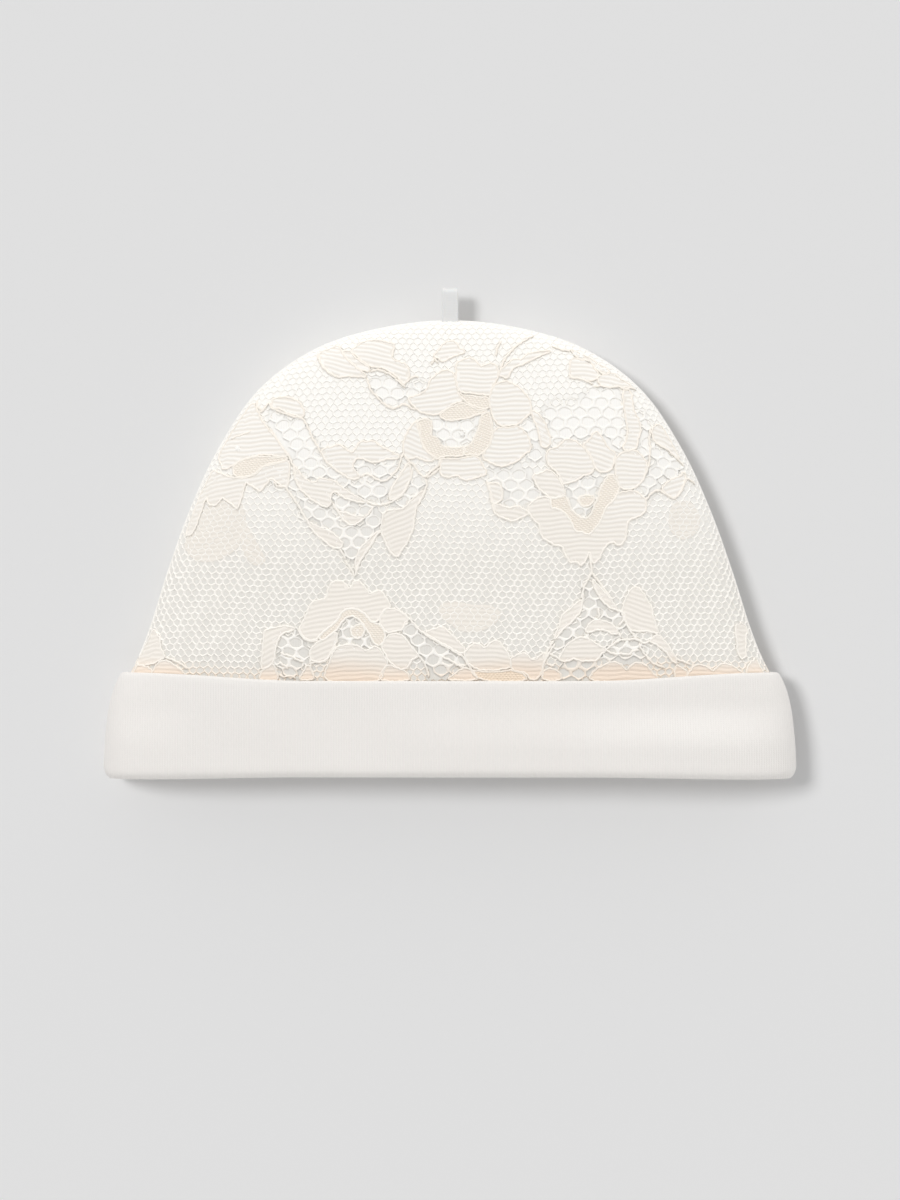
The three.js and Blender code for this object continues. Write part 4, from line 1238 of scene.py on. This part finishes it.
def build_cuff():
    around = 360
    turn = np.arange(around) * 2 * math.pi / around
    side = np.where(turn <= math.pi, 1.0, -1.0)
    profile = cuff_profile()
    points = []
    uv = []
    run = 0.0
    last = None
    for up, out, outer in profile:
        level = np.full(around, max(0.0, up))
        x = skin_half(level) * np.cos(turn)
        z = np.where(side > 0, skin_height(x, level, FRONT), skin_height(x, level, BACK))
        normal = np.where(
            (side > 0)[:, None], skin_normal(x, level, FRONT), skin_normal(x, level, BACK)
        )
        normal[:, 1] = 0
        normal /= np.linalg.norm(normal, axis=1, keepdims=True)
        outside = float(smooth(out, BAND_THICKNESS, CUFF_IN))
        px = x + normal[:, 0] * (out + CUFF_SLACK * outside)
        pz = z + normal[:, 2] * out
        middle = 1 - smooth(np.abs(np.cos(turn)), 0.45, 1)
        share = up / (CUFF_HEIGHT if outer else BAND_SEAM_HEIGHT)
        near = np.clip(CUFF_CORNER - (CAP_WIDTH / 2 - np.abs(px)), 0, CUFF_CORNER)
        fall = CUFF_CORNER - np.sqrt(CUFF_CORNER**2 - near**2)
        py = up + (MOUTH_LIFT * middle + fall) * (1 - share)
        if outer:
            py = py - (CUFF_DIP * middle + fall) * share
        # The band's outer leg lies a little slack: soft swells along it, fading on its underside
        swell = 0.12 * np.sin(px / 11 + 0.8) * np.sin(py / 7 + px / 35) + 0.06 * np.sin(px / 5.3 + py / 4)
        swell = swell + np.interp(px, *zip(*CUFF_SWELL)) * (1 - smooth(py, 7.5, 18.5))
        swell = swell * (1 - (px / (CAP_WIDTH / 2)) ** 14)
        # Its rim lies close on the lace
        on_face = np.abs(normal[:, 2]) > 0.8
        swell = swell - RIM_PRESSED * smooth(py, CUFF_HEIGHT - 7, CUFF_HEIGHT) * on_face
        pz = pz + np.where(side > 0, 1.0, 0.0) * outside * swell
        ring = np.stack([px, py, np.maximum(pz, CUFF_CLEARANCE)], -1)
        if last is not None:
            run += float(np.linalg.norm(ring - last, axis=1).mean())
        last = ring
        points.append(ring)
        uv.append(np.stack([px, np.full(around, run)], -1))
    count = len(profile)
    faces = []
    for i in range(count):
        after = (i + 1) % count
        for step in range(around):
            ahead = (step + 1) % around
            low, high = i * around, after * around
            faces.append((low + step, high + step, high + ahead, low + ahead))
    return add_mesh("jersey_cuff", np.vstack(points), faces, CUFF_JERSEY, uv=np.vstack(uv))


# The hanging loop


def build_loop():
    """Two plies of ribbon with a rounded turn, and a fuller selvedge along each side."""
    ply = 0.42
    seat = SKIN_LENGTH + LINING_THICKNESS - 0.4
    top = CAP_LENGTH + LOOP_REACH
    turn_radius = 1.2
    path = [(seat + (top - turn_radius - seat) * i / 8, -turn_radius) for i in range(9)]
    for i in range(1, 12):
        angle = -math.pi / 2 + math.pi * i / 12
        path.append((top - turn_radius + turn_radius * math.cos(angle), turn_radius * math.sin(angle)))
    path += [(top - turn_radius + (seat - top + turn_radius) * i / 8, turn_radius) for i in range(9)]
    path = np.array(path)
    along = np.gradient(path, axis=0)
    outward = np.stack([along[:, 1], -along[:, 0]], -1)
    outward /= np.linalg.norm(outward, axis=1, keepdims=True)
    across = np.linspace(-1, 1, 13)
    swell = 0.5 + 0.32 * np.exp(-(((np.abs(across) - 0.86) / 0.09) ** 2))
    run = np.concatenate([[0], np.cumsum(np.linalg.norm(np.diff(path, axis=0), axis=1))])
    points = []
    uv = []
    for level in (0, 1):
        for place, out, length in zip(path, outward, run):
            # The ribbon narrows a little where it turns over
            narrow = 1 - 0.1 * max(0.0, (place[0] - top + 0.9) / 0.9) ** 2
            for share, thick in zip(across, swell):
                reach = -level * ply + (ply * (thick - 0.5) if level == 0 else 0.0)
                at = place + out * min(reach, 0.12)
                points.append((share * narrow * LOOP_WIDTH / 2, at[0], SEAM_HEIGHT + at[1]))
                uv.append((share * LOOP_WIDTH / 2, length))
    wide = len(across)
    count = len(path) * wide
    faces = []
    for i in range(len(path) - 1):
        for j in range(wide - 1):
            a = i * wide + j
            faces.append((a, a + 1, a + wide + 1, a + wide))
            faces.append((count + a, count + a + wide, count + a + wide + 1, count + a + 1))
        for j, flip in ((0, False), (wide - 1, True)):
            a = i * wide + j
            face = (a, a + wide, count + a + wide, count + a)
            faces.append(face[::-1] if flip else face)
    last = (len(path) - 1) * wide
    for j in range(wide - 1):
        faces.append((j + 1, j, count + j, count + j + 1))
        faces.append((last + j, last + j + 1, count + last + j + 1, count + last + j))
    return add_mesh("satin_loop", points, faces, RIBBON, uv=uv)


# The seam's edge, where each panel's net is turned in and closed


def build_seam_edge(side, name):
    """A narrow woven margin along the panel's rim."""
    take = slice(60, len(FEET) - 60, 6)
    feet, inward = FEET[take], INWARD[take]
    spare = WRAP[side][1][take]
    section = ((0.0, -0.3), (0.0, 0.05), (0.5, 0.16), (1.0, 0.05), (1.0, -0.3))
    rings = []
    for depth, out in section:
        flat = feet + inward * (depth - spare)[:, None]
        rings.append(wrapped(flat, side, np.full(len(flat), LACE_IN + out)))
    points = np.stack(rings, 1).reshape(-1, 3)
    wide = len(section)
    faces = []
    for i in range(len(feet) - 1):
        for j in range(wide):
            after = (j + 1) % wide
            faces.append((i * wide + j, (i + 1) * wide + j, (i + 1) * wide + after, i * wide + after))
    faces.append(tuple(range(wide)))
    faces.append(tuple((len(feet) - 1) * wide + j for j in range(wide - 1, -1, -1)))
    if side == FRONT:
        faces = [face[::-1] for face in faces]
    return add_mesh(f"{name}_margin", points, faces, NET)


lining = build_lining()
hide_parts("lining")
pieces = [lining]
for side, name in ((FRONT, "lace_front"), (BACK, "lace_back")):
    for piece in (*build_lace(side, name), build_seam_edge(side, name)):
        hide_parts(name)
        pieces.append(piece)
cuff = build_cuff()
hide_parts("cuff")
loop = build_loop()
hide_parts("ribbon_loop")
pieces += [cuff, loop]
for piece in pieces:
    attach(piece, "root")

# The table, the light and the camera
VIEW_WIDTH = 900 * CHART_SQUARE
VIEW_ROW = 600
LENS = 120.0
SENSOR = 36.0

# Matt paper: a dull, even white that shows no reflection
paper, paper_shader = new_material("matt_white_paper", 0.9)
paper_shader.inputs["Base Color"].default_value = srgb("#F6F6F6")
bpy.ops.mesh.primitive_plane_add(size=3, location=(0, 0, -0.0002))
table = bpy.context.object
table.name = "table"
table.data.materials.append(paper)


# A window from the upper left draws the cap's soft shadow on the table. A lamp above the crown and three
# large soft screens, one at each side and a low one before the mouth, light the cap itself. Each light has
# its name, strength, spread, height above the table, turn left from straight behind the crown, and whether
# it falls on the table alone or on all but the table.
LIGHTS = (
    ("window", 1.2, 17, 55, 66, True),
    ("lamp", 1.2, 36, 37, 8, False),
    ("left_screen", 0.47, 50, 48, 75, False),
    ("right_screen", 0.47, 50, 48, -75, False),
    ("front_screen", 0.45, 40, 14, 180, False),
)
# The room is white: its light level with the cap, and how that changes upwards and towards the crown's side
ROOM = 0.68
ROOM_UPWARDS = -0.28
ROOM_BEHIND = 0.06


def add_sun(name, energy, spread, height, turn):
    """A distant light, with its angles in degrees."""
    height = math.radians(height)
    turn = math.radians(turn)
    bpy.ops.object.light_add(type="SUN", location=(-0.4, 0.5, 1))
    light = bpy.context.object
    light.name = name
    light.data.energy = energy
    light.data.angle = math.radians(spread)
    level = math.cos(height)
    towards = Vector((-math.sin(turn) * level, math.cos(turn) * level, math.sin(height)))
    light.rotation_euler = (-towards).to_track_quat("-Z", "Y").to_euler()
    return light


def light_for_table(light, wanted):
    """Whether a light falls on the table alone, or on all but the table."""
    chosen = bpy.data.collections.new(f"{light.name}_falls_on")
    chosen.objects.link(table)
    chosen.collection_objects[0].light_linking.link_state = "INCLUDE" if wanted else "EXCLUDE"
    light.light_linking.receiver_collection = chosen


for name, strength, spread, height, turn, on_table in LIGHTS:
    light_for_table(add_sun(name, strength, spread, height, turn), on_table)

world = bpy.data.worlds.new("studio")
bpy.context.scene.world = world
world.use_nodes = True
background = world.node_tree.nodes["Background"]
background.inputs["Color"].default_value = srgb("#FFFFFF")
direction = add_node(world, "ShaderNodeTexCoord").outputs["Generated"]
sky = add_node(world, "ShaderNodeSeparateXYZ", Vector=direction)
walls = add_node(
    world, "ShaderNodeMath", {"operation": "MULTIPLY_ADD"},
    _0=sky.outputs["Z"], _1=ROOM_UPWARDS, _2=ROOM,
)
brightness = add_node(
    world, "ShaderNodeMath", {"operation": "MULTIPLY_ADD"},
    _0=sky.outputs["Y"], _1=ROOM_BEHIND, _2=walls.outputs[0],
)
world.node_tree.links.new(brightness.outputs[0], background.inputs["Strength"])
bpy.context.scene.view_settings.view_transform = "Standard"

distance = LENS / SENSOR * VIEW_WIDTH
view_y = (CHART_MOUTH - VIEW_ROW) * CHART_SQUARE - MIDDLE_Y
bpy.ops.object.camera_add(location=(0, view_y * MM, (distance + SEAM_HEIGHT) * MM), rotation=(0, 0, 0))
camera = bpy.context.object
camera.data.lens = LENS
camera.data.sensor_width = SENSOR
camera.data.sensor_fit = "HORIZONTAL"
camera.data.clip_end = 20
bpy.context.scene.camera = camera
